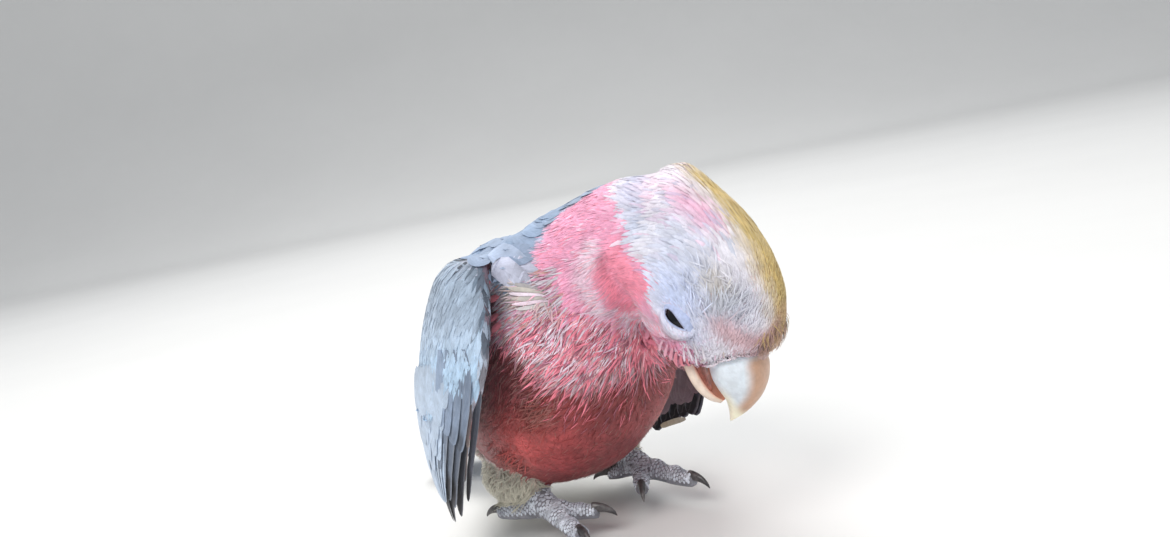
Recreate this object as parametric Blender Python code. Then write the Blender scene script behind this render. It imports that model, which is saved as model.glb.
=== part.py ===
"""A young galah, about five weeks old, standing low on both feet with its head bowed and turned to its left.

The bird faces -Y, its own right side is -X and +Z is up. Lengths are written in millimetres and scaled by MM.
The plumage is part of every solid of flesh, out to the tips of the coat. The body is modelled whole and
then parted with thin cuts into trunk, neck, head and crest. The wings, thighs, feet, bill and eyes are fitted
to it with a small gap.
"""

import math

import bmesh
import bpy
from mathutils import Matrix, Vector

MM = 0.001
GAP = 0.3  # clearance between neighbouring pieces
RIGHT, LEFT = -1, 1

# Posture of the head: where the bill points, where the crown faces, and the middle of the braincase.
HEAD_CENTRE = Vector((13.4, -52.7, 64.2))
BILL_POINTS = Vector((0.074, -0.266, -0.961))
CROWN_FACES = Vector((0.456, -0.848, 0.270))

# Trunk, tail root to neck base: (back Y, back Z, belly Y, belly Z, half width).
TRUNK = (
    (53, 20, 47, 11, 7),
    (46, 35, 36, 6, 17),
    (33, 51, 16, 4.5, 25.5),
    (19, 65, -5, 8, 30),
    (6, 75.5, -21, 21, 31),
    (-6, 82, -28, 39, 29),
    (-16, 86, -31, 56, 24),
)
# The feathers over the left shoulder blade, a long pad that slopes with the back.
SHOULDER_PAD_CENTRE, SHOULDER_PAD_RADII = Vector((19.5, -1, 66)), Vector((10.5, 24, 12.5))
SHOULDER_PAD_SLOPE = math.radians(26)
# Neck, shoulders to skull: (centre X, Y, Z, half width, half depth).
NECK = ((0, -16, 66.5, 23, 18.5), (3, -27, 70.5, 20.5, 18), (7, -37, 72.5, 19, 18), (11, -46, 69, 17, 16))
# Head in its own frame, nape to face: (Y, crown Z, throat Z, half width). +Y is the nape, +Z the crown.
HEAD = (
    (28.5, 4, -3, 4.5),
    (25, 6, -8, 9),
    (19.5, 8.6, -13.5, 12.5),
    (12, 11.4, -19, 15.6),
    (3, 13.7, -22, 17.3),
    (-6, 14.3, -22.5, 17.1),
    (-13, 13, -21.5, 15),
    (-19, 10.2, -19, 11.4),
    (-23.5, 6, -15.5, 7.8),
)
NAPE_PLANE = (Vector((0, 27, -0.5)), Vector((0, -0.57, 0.82)))
CREST_PLANE = (Vector((0, -14, 11.3)), Vector((0, 0.27, 0.96)))
SHOULDER_PLANE = (Vector((0, -21, 70)), Vector((0.1, -0.85, 0.5)))

# Bill in the head's frame. The culmen is an arc round this centre.
CULMEN_CENTRE = (-21.3, -12.1)
CULMEN_RADIUS = 14.2
CULMEN_START, CULMEN_END = 102, 181  # degrees round from straight back
# Cutting edge of the upper bill, gape to tip: (Y, Z, half width of the bill there).
TOMIUM = (
    (-17, -9.8, 8.6),
    (-20, -11, 8.8),
    (-23.5, -11.7, 7.8),
    (-26.8, -11.5, 6.1),
    (-29.8, -11.1, 4.3),
    (-33, -11.9, 2.1),
    (-35.3, -13, 0.7),
)
BILL_ROOT = (Vector((0, -15, 2)), Vector((0, -14, -10.5)), 6.6)
# Lower bill, throat to tip: (inner Y, Z, outer Y, Z, half width).
LOWER_BILL = (
    (-14, -12.6, -13, -16.6, 5.8),
    (-19, -13, -19, -17.1, 6.2),
    (-24, -12.9, -24.5, -16.7, 5.8),
    (-27.6, -12.4, -28.3, -15.2, 4.4),
    (-29.6, -12.1, -30.3, -13.3, 2),
)
TONGUE_CENTRE, TONGUE_RADII = Vector((0, -21.2, -13.7)), Vector((3.0, 5.6, 1.1))
CERE_CENTRE, CERE_RADII = Vector((0, -23.8, 2.4)), Vector((5.2, 2.1, 2))
EYE_RADIUS = 4.6
EYE_CENTRE = Vector((12.2, -7.4, -8.6))  # of the left eye

# Left wing, wrist to tip: (Z, leading edge Y, trailing edge Y, X of the vane, half thickness).
WING = (
    (77.5, -15, -3, 28, 4),
    (73.5, -20, 2, 31, 5.2),
    (63, -23.5, 8, 34.6, 5),
    (52, -22.5, 12.5, 37, 4.3),
    (39, -15.5, 16.5, 38.8, 3.6),
    (25, -5.5, 17.5, 39.6, 2.8),
    (13, 3, 15.5, 39.6, 2),
    (6, 9, 12.5, 39.4, 0.9),
)
WING_CAMBER = 2
# How far the lower edges fan out along Y, leading and trailing.
WING_SPREAD = {RIGHT: (0, 0), LEFT: (-7.5, 4)}
FLIGHT_PLANE = (Vector((39, 4, 37)), Vector((0, 0.25, -0.97)))

# Tail, vent to tip, laid along the floor: (Y, top Z, bottom Z, half width).
TAIL = (
    (42, 21, 10, 8.5),
    (52, 15, 4, 10.5),
    (62, 9, 0.2, 12),
    (75, 4.6, -0.6, 13.4),
    (87, 2.2, -0.6, 14),
    (92, 1.4, -0.6, 12),
)

FOOT = Vector((17, -1, 4.6))  # joint of the toes of the left foot
ANKLE = Vector((15.5, 7.5, 9.5))
THIGH_CENTRE, THIGH_RADII = Vector((17.5, 13, 11)), Vector((8.5, 13.5, 8))
# Toes: heading away from the median line in degrees, length without its claw, root and end radius.
TOES = {
    "front_outer": (8, 21, 3.1, 2.3),
    "front_inner": (-38, 15, 2.9, 2.1),
    "back_outer": (158, 17, 2.9, 2.1),
    "back_inner": (214, 10.5, 2.6, 1.9),
}
TOE_BULGE = 0.13
CLAW_LENGTH, CLAW_RADIUS = 7.5, 1.5

PLUMAGE_ROUGHNESS, HORN_ROUGHNESS = 0.85, 0.4
COLOURS = {
    "rose_plumage": (0.72, 0.22, 0.27),
    "pale_plumage": (0.82, 0.68, 0.68),
    "grey_plumage": (0.55, 0.60, 0.66),
    "dark_plumage": (0.16, 0.16, 0.19),
    "horn": (0.86, 0.80, 0.70),
    "claw": (0.12, 0.11, 0.11),
    "scaly_skin": (0.36, 0.36, 0.38),
    "bare_skin": (0.62, 0.33, 0.28),
    "eye": (0.02, 0.015, 0.015),
}


def clear_scene():
    """Removes whatever the file holds."""
    for old in list(bpy.data.objects):
        bpy.data.objects.remove(old)


def material(name):
    """The part's finish of that name, made once."""
    found = bpy.data.materials.get(name)
    if found:
        return found
    made = bpy.data.materials.new(name)
    made.use_nodes = True
    shader = made.node_tree.nodes["Principled BSDF"]
    shader.inputs["Base Color"].default_value = (*COLOURS[name], 1)
    soft = name.endswith(("plumage", "skin"))
    shader.inputs["Roughness"].default_value = PLUMAGE_ROUGHNESS if soft else HORN_ROUGHNESS
    shader.inputs["Metallic"].default_value = 0
    return made


def new_object(name, mesh):
    """An object of this mesh in the scene."""
    made = bpy.data.objects.new(name, mesh)
    bpy.context.scene.collection.objects.link(made)
    return made


def evaluated(obj, name=None):
    """obj with its modifiers applied, under the same name or a new one."""
    bpy.context.view_layer.update()
    mesh = bpy.data.meshes.new_from_object(obj.evaluated_get(bpy.context.evaluated_depsgraph_get()))
    if name:
        return new_object(name, mesh)
    obj.modifiers.clear()
    obj.data = mesh
    return obj


def catmull_rom(rows, steps):
    """Rows of numbers read from a smooth curve through the given rows, with this many steps between two."""
    padded = [rows[0], *rows, rows[-1]]
    found = []
    for i in range(1, len(rows)):
        before, start, end, after = padded[i - 1], padded[i], padded[i + 1], padded[i + 2]
        for k in range(steps):
            t = k / steps
            found.append(tuple(
                b + 0.5 * t * (c - a + t * (2 * a - 5 * b + 4 * c - d + t * (3 * b - a - 3 * c + d)))
                for a, b, c, d in zip(before, start, end, after)
            ))
    return [*found, tuple(rows[-1])]


def loft(name, stations, side=Vector((1, 0, 0)), steps=3, sides=24, fullness=2.0, camber=0.0, grow=0.0):
    """A closed skin through stations (one edge, the opposite edge, half width), each edge as a Vector.

    side is the direction of the half width. fullness is the superellipse's power, camber bows the section
    towards side, and grow swells it all over.
    """
    rows = catmull_rom([(*a, *b, half) for a, b, half in stations], steps)
    bm = bmesh.new()
    rings = []
    for row in rows:
        edge, other, half = Vector(row[0:3]), Vector(row[3:6]), row[6] + grow
        centre, reach = (edge + other) / 2, (edge - other) / 2
        reach = reach.normalized() * (reach.length + grow)
        ring = []
        for k in range(sides):
            angle = math.tau * k / sides
            across = math.copysign(abs(math.cos(angle)) ** (2 / fullness), math.cos(angle))
            along = math.copysign(abs(math.sin(angle)) ** (2 / fullness), math.sin(angle))
            bow = camber * (1 - along * along)
            ring.append(bm.verts.new((centre + reach * along + side * (half * across + bow)) * MM))
        rings.append(ring)
    for near, far in zip(rings, rings[1:]):
        for k in range(sides):
            bm.faces.new((near[k], near[k - 1], far[k - 1], far[k]))
    bm.faces.new(rings[0])
    bm.faces.new(list(reversed(rings[-1])))
    bmesh.ops.recalc_face_normals(bm, faces=bm.faces)
    mesh = bpy.data.meshes.new(name)
    bm.to_mesh(mesh)
    bm.free()
    return new_object(name, mesh)


def ellipsoid(name, centre, radii, segments=20):
    """A closed ellipsoid."""
    bm = bmesh.new()
    bmesh.ops.create_uvsphere(bm, u_segments=segments, v_segments=segments // 2, radius=1)
    place = Matrix.Translation(centre * MM) @ Matrix.Diagonal((*(radii * MM), 1))
    bmesh.ops.transform(bm, matrix=place, verts=bm.verts)
    mesh = bpy.data.meshes.new(name)
    bm.to_mesh(mesh)
    bm.free()
    return new_object(name, mesh)


def moved(obj, matrix):
    """obj with its mesh carried by the matrix."""
    obj.data.transform(matrix)
    return obj


def fused(name, pieces, voxel, rounds, triangles):
    """The pieces as one smooth body of about that many triangles."""
    bm = bmesh.new()
    for piece in pieces:
        bm.from_mesh(piece.data)
        bpy.data.objects.remove(piece)
    mesh = bpy.data.meshes.new(name)
    bm.to_mesh(mesh)
    bm.free()
    body = new_object(name, mesh)
    remesh = body.modifiers.new("voxels", "REMESH")
    remesh.mode, remesh.voxel_size = "VOXEL", voxel * MM
    smooth = body.modifiers.new("soften", "SMOOTH")
    smooth.factor, smooth.iterations = 0.5, rounds
    return reduced(evaluated(body), triangles)


def reduced(obj, triangles):
    """obj with its faces merged down to about that many triangles."""
    now = sum(len(face.vertices) - 2 for face in obj.data.polygons)
    if now > triangles:
        decimate = obj.modifiers.new("reduce", "DECIMATE")
        decimate.ratio = triangles / now
    return evaluated(obj)


def grown(obj, by=GAP):
    """A copy of obj swollen by a gap, to cut its neighbours with."""
    swell = obj.modifiers.new("swell", "DISPLACE")
    swell.direction, swell.mid_level, swell.strength = "NORMAL", 0, by * MM
    copy = evaluated(obj, obj.name + "_grown")
    obj.modifiers.remove(swell)
    return copy


def largest_body(obj):
    """obj without the loose scraps that a cut may leave."""
    bm = bmesh.new()
    bm.from_mesh(obj.data)
    left, bodies = set(bm.verts), []
    while left:
        queue, body = [left.pop()], []
        while queue:
            vert = queue.pop()
            body.append(vert)
            near = {edge.other_vert(vert) for edge in vert.link_edges} & left
            left -= near
            queue.extend(near)
        bodies.append(body)
    bodies.sort(key=len)
    bmesh.ops.delete(bm, geom=[vert for body in bodies[:-1] for vert in body], context="VERTS")
    bm.to_mesh(obj.data)
    bm.free()
    return obj


def cut(obj, *cutters):
    """obj less each cutter. The cutters are used up."""
    for cutter in cutters:
        boolean = obj.modifiers.new("cut", "BOOLEAN")
        boolean.operation, boolean.solver, boolean.object = "DIFFERENCE", "EXACT", cutter
        evaluated(obj)
        bpy.data.objects.remove(cutter)
    return largest_body(obj)


def sliced(obj, name, point, normal):
    """Parts obj at a plane: obj keeps what lies behind it, and a new object holds what lies before it."""
    front = new_object(name, obj.data.copy())
    for piece, sign in ((obj, -1), (front, 1)):
        bm = bmesh.new()
        bm.from_mesh(piece.data)
        shifted = (point + normal.normalized() * sign * GAP / 2) * MM
        found = bmesh.ops.bisect_plane(
            bm, geom=[*bm.verts, *bm.edges, *bm.faces], plane_co=shifted, plane_no=normal,
            clear_inner=sign > 0, clear_outer=sign < 0,
        )
        rim = [item for item in found["geom_cut"] if isinstance(item, bmesh.types.BMEdge)]
        bmesh.ops.triangle_fill(bm, edges=rim, use_beauty=True)
        bmesh.ops.recalc_face_normals(bm, faces=bm.faces)
        bm.to_mesh(piece.data)
        bm.free()
    return front


def finished(obj, finish, smooth=True):
    """obj with its material and shading."""
    obj.data.materials.clear()
    obj.data.materials.append(material(finish))
    if smooth:
        obj.data.shade_smooth()
        obj.data.set_sharp_from_angle(angle=math.radians(50))
    return obj


def head_matrix():
    """Carries the head's own frame (-Y to the bill, +Z to the crown) to its place."""
    ahead = BILL_POINTS.normalized()
    up = (CROWN_FACES - ahead * CROWN_FACES.dot(ahead)).normalized()
    left = up.cross(ahead)
    turn = Matrix((left, -ahead, up)).transposed().to_4x4()
    return Matrix.Translation(HEAD_CENTRE * MM) @ turn


def mirrored(side):
    """Turns a left-hand piece into one for that side."""
    return Matrix.Diagonal((side, 1, 1, 1))


def face_out(obj):
    """Turns the faces of a mirrored mesh outwards again."""
    bm = bmesh.new()
    bm.from_mesh(obj.data)
    bmesh.ops.recalc_face_normals(bm, faces=bm.faces)
    bm.to_mesh(obj.data)
    bm.free()
    return obj


def upright_station(upper_y, upper_z, lower_y, lower_z, half):
    """A station on the median plane, from its upper and lower edge and its half width."""
    return Vector((0, upper_y, upper_z)), Vector((0, lower_y, lower_z)), half


def build_body():
    """Trunk, neck and head as one smooth form."""
    trunk = loft("trunk", [upright_station(*row) for row in TRUNK], fullness=2.15)
    spine = [Vector(row[:3]) for row in NECK]
    stations = []
    for i, (x, y, z, half, depth) in enumerate(NECK):
        along = (spine[min(i + 1, len(spine) - 1)] - spine[max(i - 1, 0)]).normalized()
        upward = Vector((1, 0, 0)).cross(-along).normalized()
        stations.append((Vector((x, y, z)) + upward * depth, Vector((x, y, z)) - upward * depth, half))
    neck = loft("neck", stations)
    skull = loft("skull", [upright_station(y, top, y, low, half) for y, top, low, half in HEAD], fullness=2.1)
    moved(skull, head_matrix())
    slope = Matrix.Translation(SHOULDER_PAD_CENTRE * MM) @ Matrix.Rotation(-SHOULDER_PAD_SLOPE, 4, "X")
    pads = []
    for side in (RIGHT, LEFT):
        pad = ellipsoid("shoulder_pad", Vector(), SHOULDER_PAD_RADII)
        pads.append(face_out(moved(pad, mirrored(side) @ slope)))
    return fused("trunk", [trunk, neck, skull, *pads], voxel=1.5, rounds=12, triangles=2300)


def culmen_point(share):
    """A point of the bill's ridge, from its root at 0 to its tip at 1."""
    angle = math.radians(CULMEN_START + (CULMEN_END - CULMEN_START) * share)
    y, z = CULMEN_CENTRE
    return Vector((0, y + CULMEN_RADIUS * math.cos(angle), z + CULMEN_RADIUS * math.sin(angle)))


def build_upper_bill(grow=0.0):
    """The hooked upper half of the bill, with a root that sits in the face."""
    last = len(TOMIUM) - 1
    stations = [BILL_ROOT]
    for i, (y, z, half) in enumerate(TOMIUM):
        stations.append((culmen_point(i / last), Vector((0, y, z)), half))
    return moved(loft("bill_upper", stations, steps=2, sides=16, fullness=2.3, grow=grow), head_matrix())


def build_lower_bill(grow=0.0):
    """The solid of the lower bill, held a little open."""
    stations = [upright_station(*row) for row in LOWER_BILL]
    return moved(loft("bill_lower", stations, steps=2, sides=16, fullness=2.6, grow=grow), head_matrix())


def build_head(body):
    """Parts the body into its solids of flesh, and sets the bill, cere, tongue and eyes into the head."""
    place = head_matrix()
    neck = sliced(body, "neck", *SHOULDER_PLANE)
    plane_point, plane_normal = NAPE_PLANE
    head = sliced(neck, "head", place @ (plane_point * MM) / MM, place.to_3x3() @ plane_normal)
    upper, lower = build_upper_bill(), build_lower_bill()
    tongue = moved(ellipsoid("tongue", TONGUE_CENTRE, TONGUE_RADII, 10), place)
    cere = moved(ellipsoid("cere", CERE_CENTRE, CERE_RADII, 12), place)
    cut(tongue, build_upper_bill(grow=GAP))
    cut(lower, grown(tongue))
    cut(head, build_upper_bill(grow=GAP), build_lower_bill(grow=GAP), grown(tongue))
    eyes = []
    for side, word in ((RIGHT, "right"), (LEFT, "left")):
        centre = Vector((EYE_CENTRE.x * side, EYE_CENTRE.y, EYE_CENTRE.z))
        radii = Vector((EYE_RADIUS,) * 3)
        eyes.append(moved(ellipsoid("eye_" + word, centre, radii, 12), place))
        cut(head, moved(ellipsoid("socket", centre, radii + Vector((GAP,) * 3), 12), place))
    cut(cere, build_upper_bill(grow=GAP), grown(head))
    plane_point, plane_normal = CREST_PLANE
    crest = sliced(head, "crest", place @ (plane_point * MM) / MM, place.to_3x3() @ plane_normal)
    for piece in (head, crest):
        finished(piece, "pale_plumage")
    for piece in (upper, lower):
        finished(piece, "horn")
    finished(tongue, "bare_skin")
    finished(cere, "bare_skin")
    for eye in eyes:
        finished(eye, "eye")
    finished(neck, "rose_plumage")
    finished(body, "rose_plumage")


def build_wing(side, word, body):
    """A drooping wing: the covert-clad arm, and below it the flight feathers."""
    wrist, tip = WING[0][0], WING[-1][0]
    stations = []
    for z, lead, trail, x, half in WING:
        fan = ((wrist - z) / (wrist - tip)) ** 2
        ahead, behind = (reach * fan for reach in WING_SPREAD[side])
        stations.append((Vector((x, lead + ahead, z)), Vector((x, trail + behind, z)), half))
    wing = loft("wing_" + word, stations, steps=2, sides=18, camber=WING_CAMBER, fullness=2.2)
    face_out(moved(wing, mirrored(side)))
    cut(wing, grown(body))
    point, normal = (Vector((v.x * side, v.y, v.z)) for v in FLIGHT_PLANE)
    flight = sliced(wing, "flight_feathers_" + word, point, normal)
    finished(wing, "grey_plumage")
    finished(flight, "dark_plumage")


def build_tail(body):
    """The short tail, laid flat behind the bird, with its underside trimmed to the floor."""
    stations = [upright_station(y, top, y, low, half) for y, top, low, half in TAIL]
    tail = loft("tail", stations, steps=2, sides=16, fullness=2.6)
    cut(tail, grown(body), floor_block())
    return finished(tail, "grey_plumage")


def floor_block():
    """A block whose top is the floor, to trim soles with."""
    bm = bmesh.new()
    size = 300 * MM
    bmesh.ops.create_cube(bm, size=size, matrix=Matrix.Translation((0, 0, -size / 2)))
    mesh = bpy.data.meshes.new("floor_block")
    bm.to_mesh(mesh)
    bm.free()
    return new_object("floor_block", mesh)


def toe_heading(name):
    """The direction of a left toe along the floor."""
    angle = math.radians(TOES[name][0])
    return Vector((math.sin(angle), -math.cos(angle), 0))


def build_toe(name):
    """A left toe with a pad between every two joints."""
    _, length, root, end = TOES[name]
    ahead = toe_heading(name)
    across = ahead.cross(Vector((0, 0, 1)))
    stations = []
    steps = 9
    for i in range(steps + 1):
        t = i / steps
        radius = (root + (end - root) * t) * (1 + TOE_BULGE * math.cos(3 * math.tau * t))
        centre = Vector((FOOT.x, FOOT.y, 0)) + ahead * length * t
        centre.z = radius * 0.86 + 1.6 * (1 - t) ** 2
        upright = Vector((0, 0, radius))
        stations.append((centre + upright, centre - upright, radius))
    return loft("toe_" + name, stations, side=across, steps=1, sides=12)


def build_claw(name, side, word, grow=0.0):
    """A curved claw that comes down from the end of its toe to just above the floor."""
    _, length, _, end = TOES[name]
    ahead = toe_heading(name)
    across = ahead.cross(Vector((0, 0, 1)))
    root = Vector((FOOT.x, FOOT.y, 0)) + ahead * (length - 1.2)
    stations = []
    steps = 4
    for i in range(steps + 1):
        t = i / steps
        radius = CLAW_RADIUS * (1 - t) ** 0.7 + 0.22
        centre = root + ahead * CLAW_LENGTH * math.sin(t * 1.25) / 1.1
        centre.z = end + 0.9 * math.sin(math.pi * (0.25 + 0.55 * t)) - (end + 0.55) * t**1.6 + 0.25
        upright = (Vector((0, 0, 1)) + ahead * 0.5 * t).normalized() * radius
        stations.append((centre + upright, centre - upright, radius * 0.8))
    claw = loft(f"claw_{word}_{name}", stations, side=across, steps=1, sides=7, grow=grow)
    return face_out(moved(claw, mirrored(side)))


def build_leg(side, word, body):
    """Feathered thigh, scaly foot and four claws of one side."""
    thigh = ellipsoid("thigh_" + word, THIGH_CENTRE, THIGH_RADII, 12)
    face_out(moved(thigh, mirrored(side)))
    shank = loft("shank", [
        (ANKLE + Vector((0, 2, 3.2)), ANKLE + Vector((0, -1, -3.6)), 3.4),
        ((ANKLE + FOOT) / 2 + Vector((0, 1, 3)), (ANKLE + FOOT) / 2 + Vector((0, -1, -3.4)), 3.3),
        (FOOT + Vector((0, -1, 3)), FOOT + Vector((0, -2, -4)), 4),
    ], sides=12)
    pieces = [shank, *(build_toe(name) for name in TOES)]
    for piece in pieces:
        face_out(moved(piece, mirrored(side)))
    foot = fused("foot_" + word, pieces, voxel=0.7, rounds=3, triangles=560)
    for name in TOES:
        claw = build_claw(name, side, word)
        cut(claw, grown(foot))
        finished(cut(claw, floor_block()), "claw")
    cut(foot, floor_block())
    cut(body, grown(foot))
    cut(thigh, grown(body), grown(foot), floor_block())
    finished(thigh, "pale_plumage")
    finished(foot, "scaly_skin")


def centre_on_floor():
    """Moves the whole bird so that the middle of its box stands at the origin."""
    bpy.context.view_layer.update()
    corners = [obj.matrix_world @ vert.co for obj in bpy.data.objects for vert in obj.data.vertices]
    low = [min(corner[i] for corner in corners) for i in range(3)]
    high = [max(corner[i] for corner in corners) for i in range(3)]
    shift = Vector((-(low[0] + high[0]) / 2, -(low[1] + high[1]) / 2, -low[2]))
    for obj in bpy.data.objects:
        obj.location = shift


def main():
    """Builds the bird."""
    clear_scene()
    body = build_body()
    for side, word in ((RIGHT, "right"), (LEFT, "left")):
        build_wing(side, word, body)
        build_leg(side, word, body)
    build_tail(body)
    build_head(body)
    centre_on_floor()


main()
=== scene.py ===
"""Looks of a young galah, about five weeks old, squatting with its head bowed and turned to its left.

Lengths are millimetres in the bird's own frame (it faces -Y, its left is +X, the floor is Z = 0), which
BirdFrame carries to the world. One skin takes the place of the flesh and lies inside it by the depth of the
coat. Feathers grow from the skin along the lie of the coat, as thin closed vanes.
"""

from __future__ import annotations

import logging
import math
import sys
from collections.abc import Callable
from dataclasses import dataclass, field
from enum import Enum

import bmesh
import bpy
import numpy as np
from mathutils import Matrix, Vector
from mathutils.bvhtree import BVHTree
from mathutils.kdtree import KDTree


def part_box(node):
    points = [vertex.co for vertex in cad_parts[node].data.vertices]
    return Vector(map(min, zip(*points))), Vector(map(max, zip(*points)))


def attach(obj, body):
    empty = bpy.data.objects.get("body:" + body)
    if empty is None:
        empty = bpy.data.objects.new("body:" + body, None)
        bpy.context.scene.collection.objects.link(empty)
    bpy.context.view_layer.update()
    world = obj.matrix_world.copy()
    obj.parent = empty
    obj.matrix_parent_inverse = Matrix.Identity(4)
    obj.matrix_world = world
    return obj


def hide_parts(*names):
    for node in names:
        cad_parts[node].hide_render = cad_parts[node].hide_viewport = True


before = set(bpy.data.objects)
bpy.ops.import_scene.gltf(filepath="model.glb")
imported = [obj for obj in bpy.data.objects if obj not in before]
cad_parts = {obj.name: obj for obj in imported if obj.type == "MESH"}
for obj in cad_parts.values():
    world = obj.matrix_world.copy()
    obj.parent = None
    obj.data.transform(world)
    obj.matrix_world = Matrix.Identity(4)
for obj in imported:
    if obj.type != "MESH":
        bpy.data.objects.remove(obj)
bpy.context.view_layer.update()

LOG = logging.getLogger("galah")
MM = 0.001
Array = np.ndarray
Colour = tuple[float, float, float]
Place = tuple[float, float, float]
Line = tuple[tuple[float, ...], ...]


class Side(Enum):
    """The two sides of the bird, by the sign of X."""

    RIGHT = -1
    LEFT = 1

    @property
    def word(self) -> str:
        """The side's name in lower case."""
        return self.name.lower()


class Part(Enum):
    """Parts of the flesh that the coat tells apart."""

    BODY = 0
    WING = 1
    THIGH = 2
    FOOT = 3


# ---------------------------------------------------------------------------------------------------------
# Numbers and frames
# ---------------------------------------------------------------------------------------------------------


def unit(vectors: Array) -> Array:
    """The vectors at length one."""
    return vectors / np.maximum(np.linalg.norm(vectors, axis=-1, keepdims=True), 1e-9)


def dot(a: Array, b: Array) -> Array:
    """Scalar products of rows, kept as a column."""
    return np.sum(a * b, axis=-1, keepdims=True)


def ramp(values: Array, low: float, high: float) -> Array:
    """A smooth step from 0 at low to 1 at high, falling where low is the greater."""
    t = np.clip((values - low) / (high - low), 0, 1)
    return t * t * (3 - 2 * t)


def bell(values: Array, width: float) -> Array:
    """A soft bump of that half width round zero."""
    return np.exp(-((values / width) ** 2))


def soft_max(a: Array, b: Array, sharpness: float) -> Array:
    """The greater of two values, blended where they are alike."""
    return np.log(np.exp(a * sharpness) + np.exp(b * sharpness)) / sharpness


def lattice_value(cells: Array, seed: int) -> Array:
    """A fixed random number from 0 to 1 for every whole-number cell."""
    mixed = cells.astype(np.int64) @ np.array([73856093, 19349663, 83492791]) + seed * 2654435761
    mixed = (mixed ^ (mixed >> 13)) * 1274126177 & 0x7FFFFFFF
    return (mixed ^ (mixed >> 16)) % 100003 / 100003


def noise(points: Array, size: float, seed: int = 0) -> Array:
    """Soft noise from -1 to 1.

    Args:
        points: Places, one a row.
        size: Width of its bumps.
        seed: Which noise.

    Returns:
        One value a place.
    """
    scaled = points / size + 1000
    base = np.floor(scaled)
    part = scaled - base
    part = part * part * (3 - 2 * part)
    total = np.zeros(len(points))
    for corner in np.ndindex(2, 2, 2):
        weight = np.prod(np.where(corner, part, 1 - part), axis=1)
        total += weight * lattice_value(base + corner, seed)
    return total * 2 - 1


def smooth_curve(rows: Line, steps: int) -> Array:
    """Rows read from a smooth curve through the given rows.

    Args:
        rows: The rows that the curve passes.
        steps: Steps between two of them.

    Returns:
        The denser rows, the given ones among them.
    """
    given = np.array(rows, float)
    padded = np.vstack([given[:1], given, given[-1:]])
    found = []
    for i in range(1, len(given)):
        a, b, c, d = padded[i - 1 : i + 3]
        for t in np.arange(steps) / steps:
            found.append(b + 0.5 * t * (c - a + t * (2 * a - 5 * b + 4 * c - d + t * (3 * b - a - 3 * c + d))))
    return np.array([*found, given[-1]])


@dataclass(frozen=True)
class BirdFrame:
    """The bird's own frame and the head's frame within it.

    In the head's frame -Y runs to the bill, +Z to the crown and +X to the bird's left.
    """

    head_centre: Place = (13.4, -52.7, 64.2)
    bill_points: Place = (0.074, -0.266, -0.961)
    crown_faces: Place = (0.456, -0.848, 0.270)
    eye_centre: Place = (12.2, -7.4, -8.6)  # of the left eye, in the head's frame

    def head_axes(self) -> Array:
        """The head's X, Y and Z as rows."""
        ahead = unit(np.array(self.bill_points))
        crown = np.array(self.crown_faces)
        crown = unit(crown - ahead * crown.dot(ahead))
        return np.array([np.cross(crown, ahead), -ahead, crown])

    def to_head(self, points: Array) -> Array:
        """Places of the bird's frame in the head's frame."""
        return (points - np.array(self.head_centre)) @ self.head_axes().T

    def from_head(self, points: Array) -> Array:
        """Places of the head's frame in the bird's frame."""
        return np.asarray(points, float) @ self.head_axes() + np.array(self.head_centre)

    def eye(self, side: Side) -> Array:
        """Centre of an eye in the head's frame."""
        return np.array(self.eye_centre) * (side.value, 1, 1)

    def offset(self) -> Array:
        """Place of the bird's origin in the world, in metres, from where the eyes are."""
        boxes = [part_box("eye_" + side.word) for side in Side]
        found = np.mean([np.array(low + high) / 2 for low, high in boxes], axis=0)
        expected = self.from_head(np.mean([self.eye(side) for side in Side], axis=0))
        return found - expected * MM

    def to_world(self, points: Array) -> Array:
        """Places of the bird's frame in the world, in metres."""
        return np.asarray(points, float) * MM + self.offset()


BIRD = BirdFrame()
OFFSET = BIRD.offset()


# ---------------------------------------------------------------------------------------------------------
# Meshes
# ---------------------------------------------------------------------------------------------------------


def new_object(name: str, mesh: bpy.types.Mesh) -> bpy.types.Object:
    """An object of this mesh in the scene."""
    made = bpy.data.objects.new(name, mesh)
    bpy.context.scene.collection.objects.link(made)
    return made


def mesh_from_arrays(name: str, points: Array, corners: Array, sizes: Array) -> bpy.types.Mesh:
    """A mesh of the bird's frame.

    Args:
        name: Its name.
        points: Vertices in millimetres.
        corners: Vertex numbers of all faces, one face after another.
        sizes: Corners of each face.

    Returns:
        The mesh, shaded smooth, in metres of the world.
    """
    mesh = bpy.data.meshes.new(name)
    mesh.vertices.add(len(points))
    mesh.vertices.foreach_set("co", (points * MM + OFFSET).astype(np.float32).ravel())
    mesh.loops.add(len(corners))
    mesh.loops.foreach_set("vertex_index", corners.astype(np.int32))
    mesh.polygons.add(len(sizes))
    mesh.polygons.foreach_set("loop_start", (np.cumsum(sizes) - sizes).astype(np.int32))
    mesh.update(calc_edges=True)
    mesh.shade_smooth()
    return mesh


def read_numbers(items: bpy.types.bpy_prop_collection, name: str, per: int = 3, kind: type = np.float32) -> Array:
    """One property of all the items, as rows of that many numbers."""
    flat = np.zeros(len(items) * per, kind)
    items.foreach_get(name, flat)
    return flat.reshape(-1, per).astype(float if kind is np.float32 else int)


def vertex_places(mesh: bpy.types.Mesh) -> Array:
    """The mesh's vertices in the bird's frame."""
    return (read_numbers(mesh.vertices, "co") - OFFSET) / MM


def vertex_normals(mesh: bpy.types.Mesh) -> Array:
    """The mesh's vertex normals."""
    return read_numbers(mesh.vertex_normals, "vector")


def place_vertices(mesh: bpy.types.Mesh, points: Array) -> None:
    """Moves the mesh's vertices to these places of the bird's frame."""
    mesh.vertices.foreach_set("co", (points * MM + OFFSET).astype(np.float32).ravel())
    mesh.update()


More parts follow.
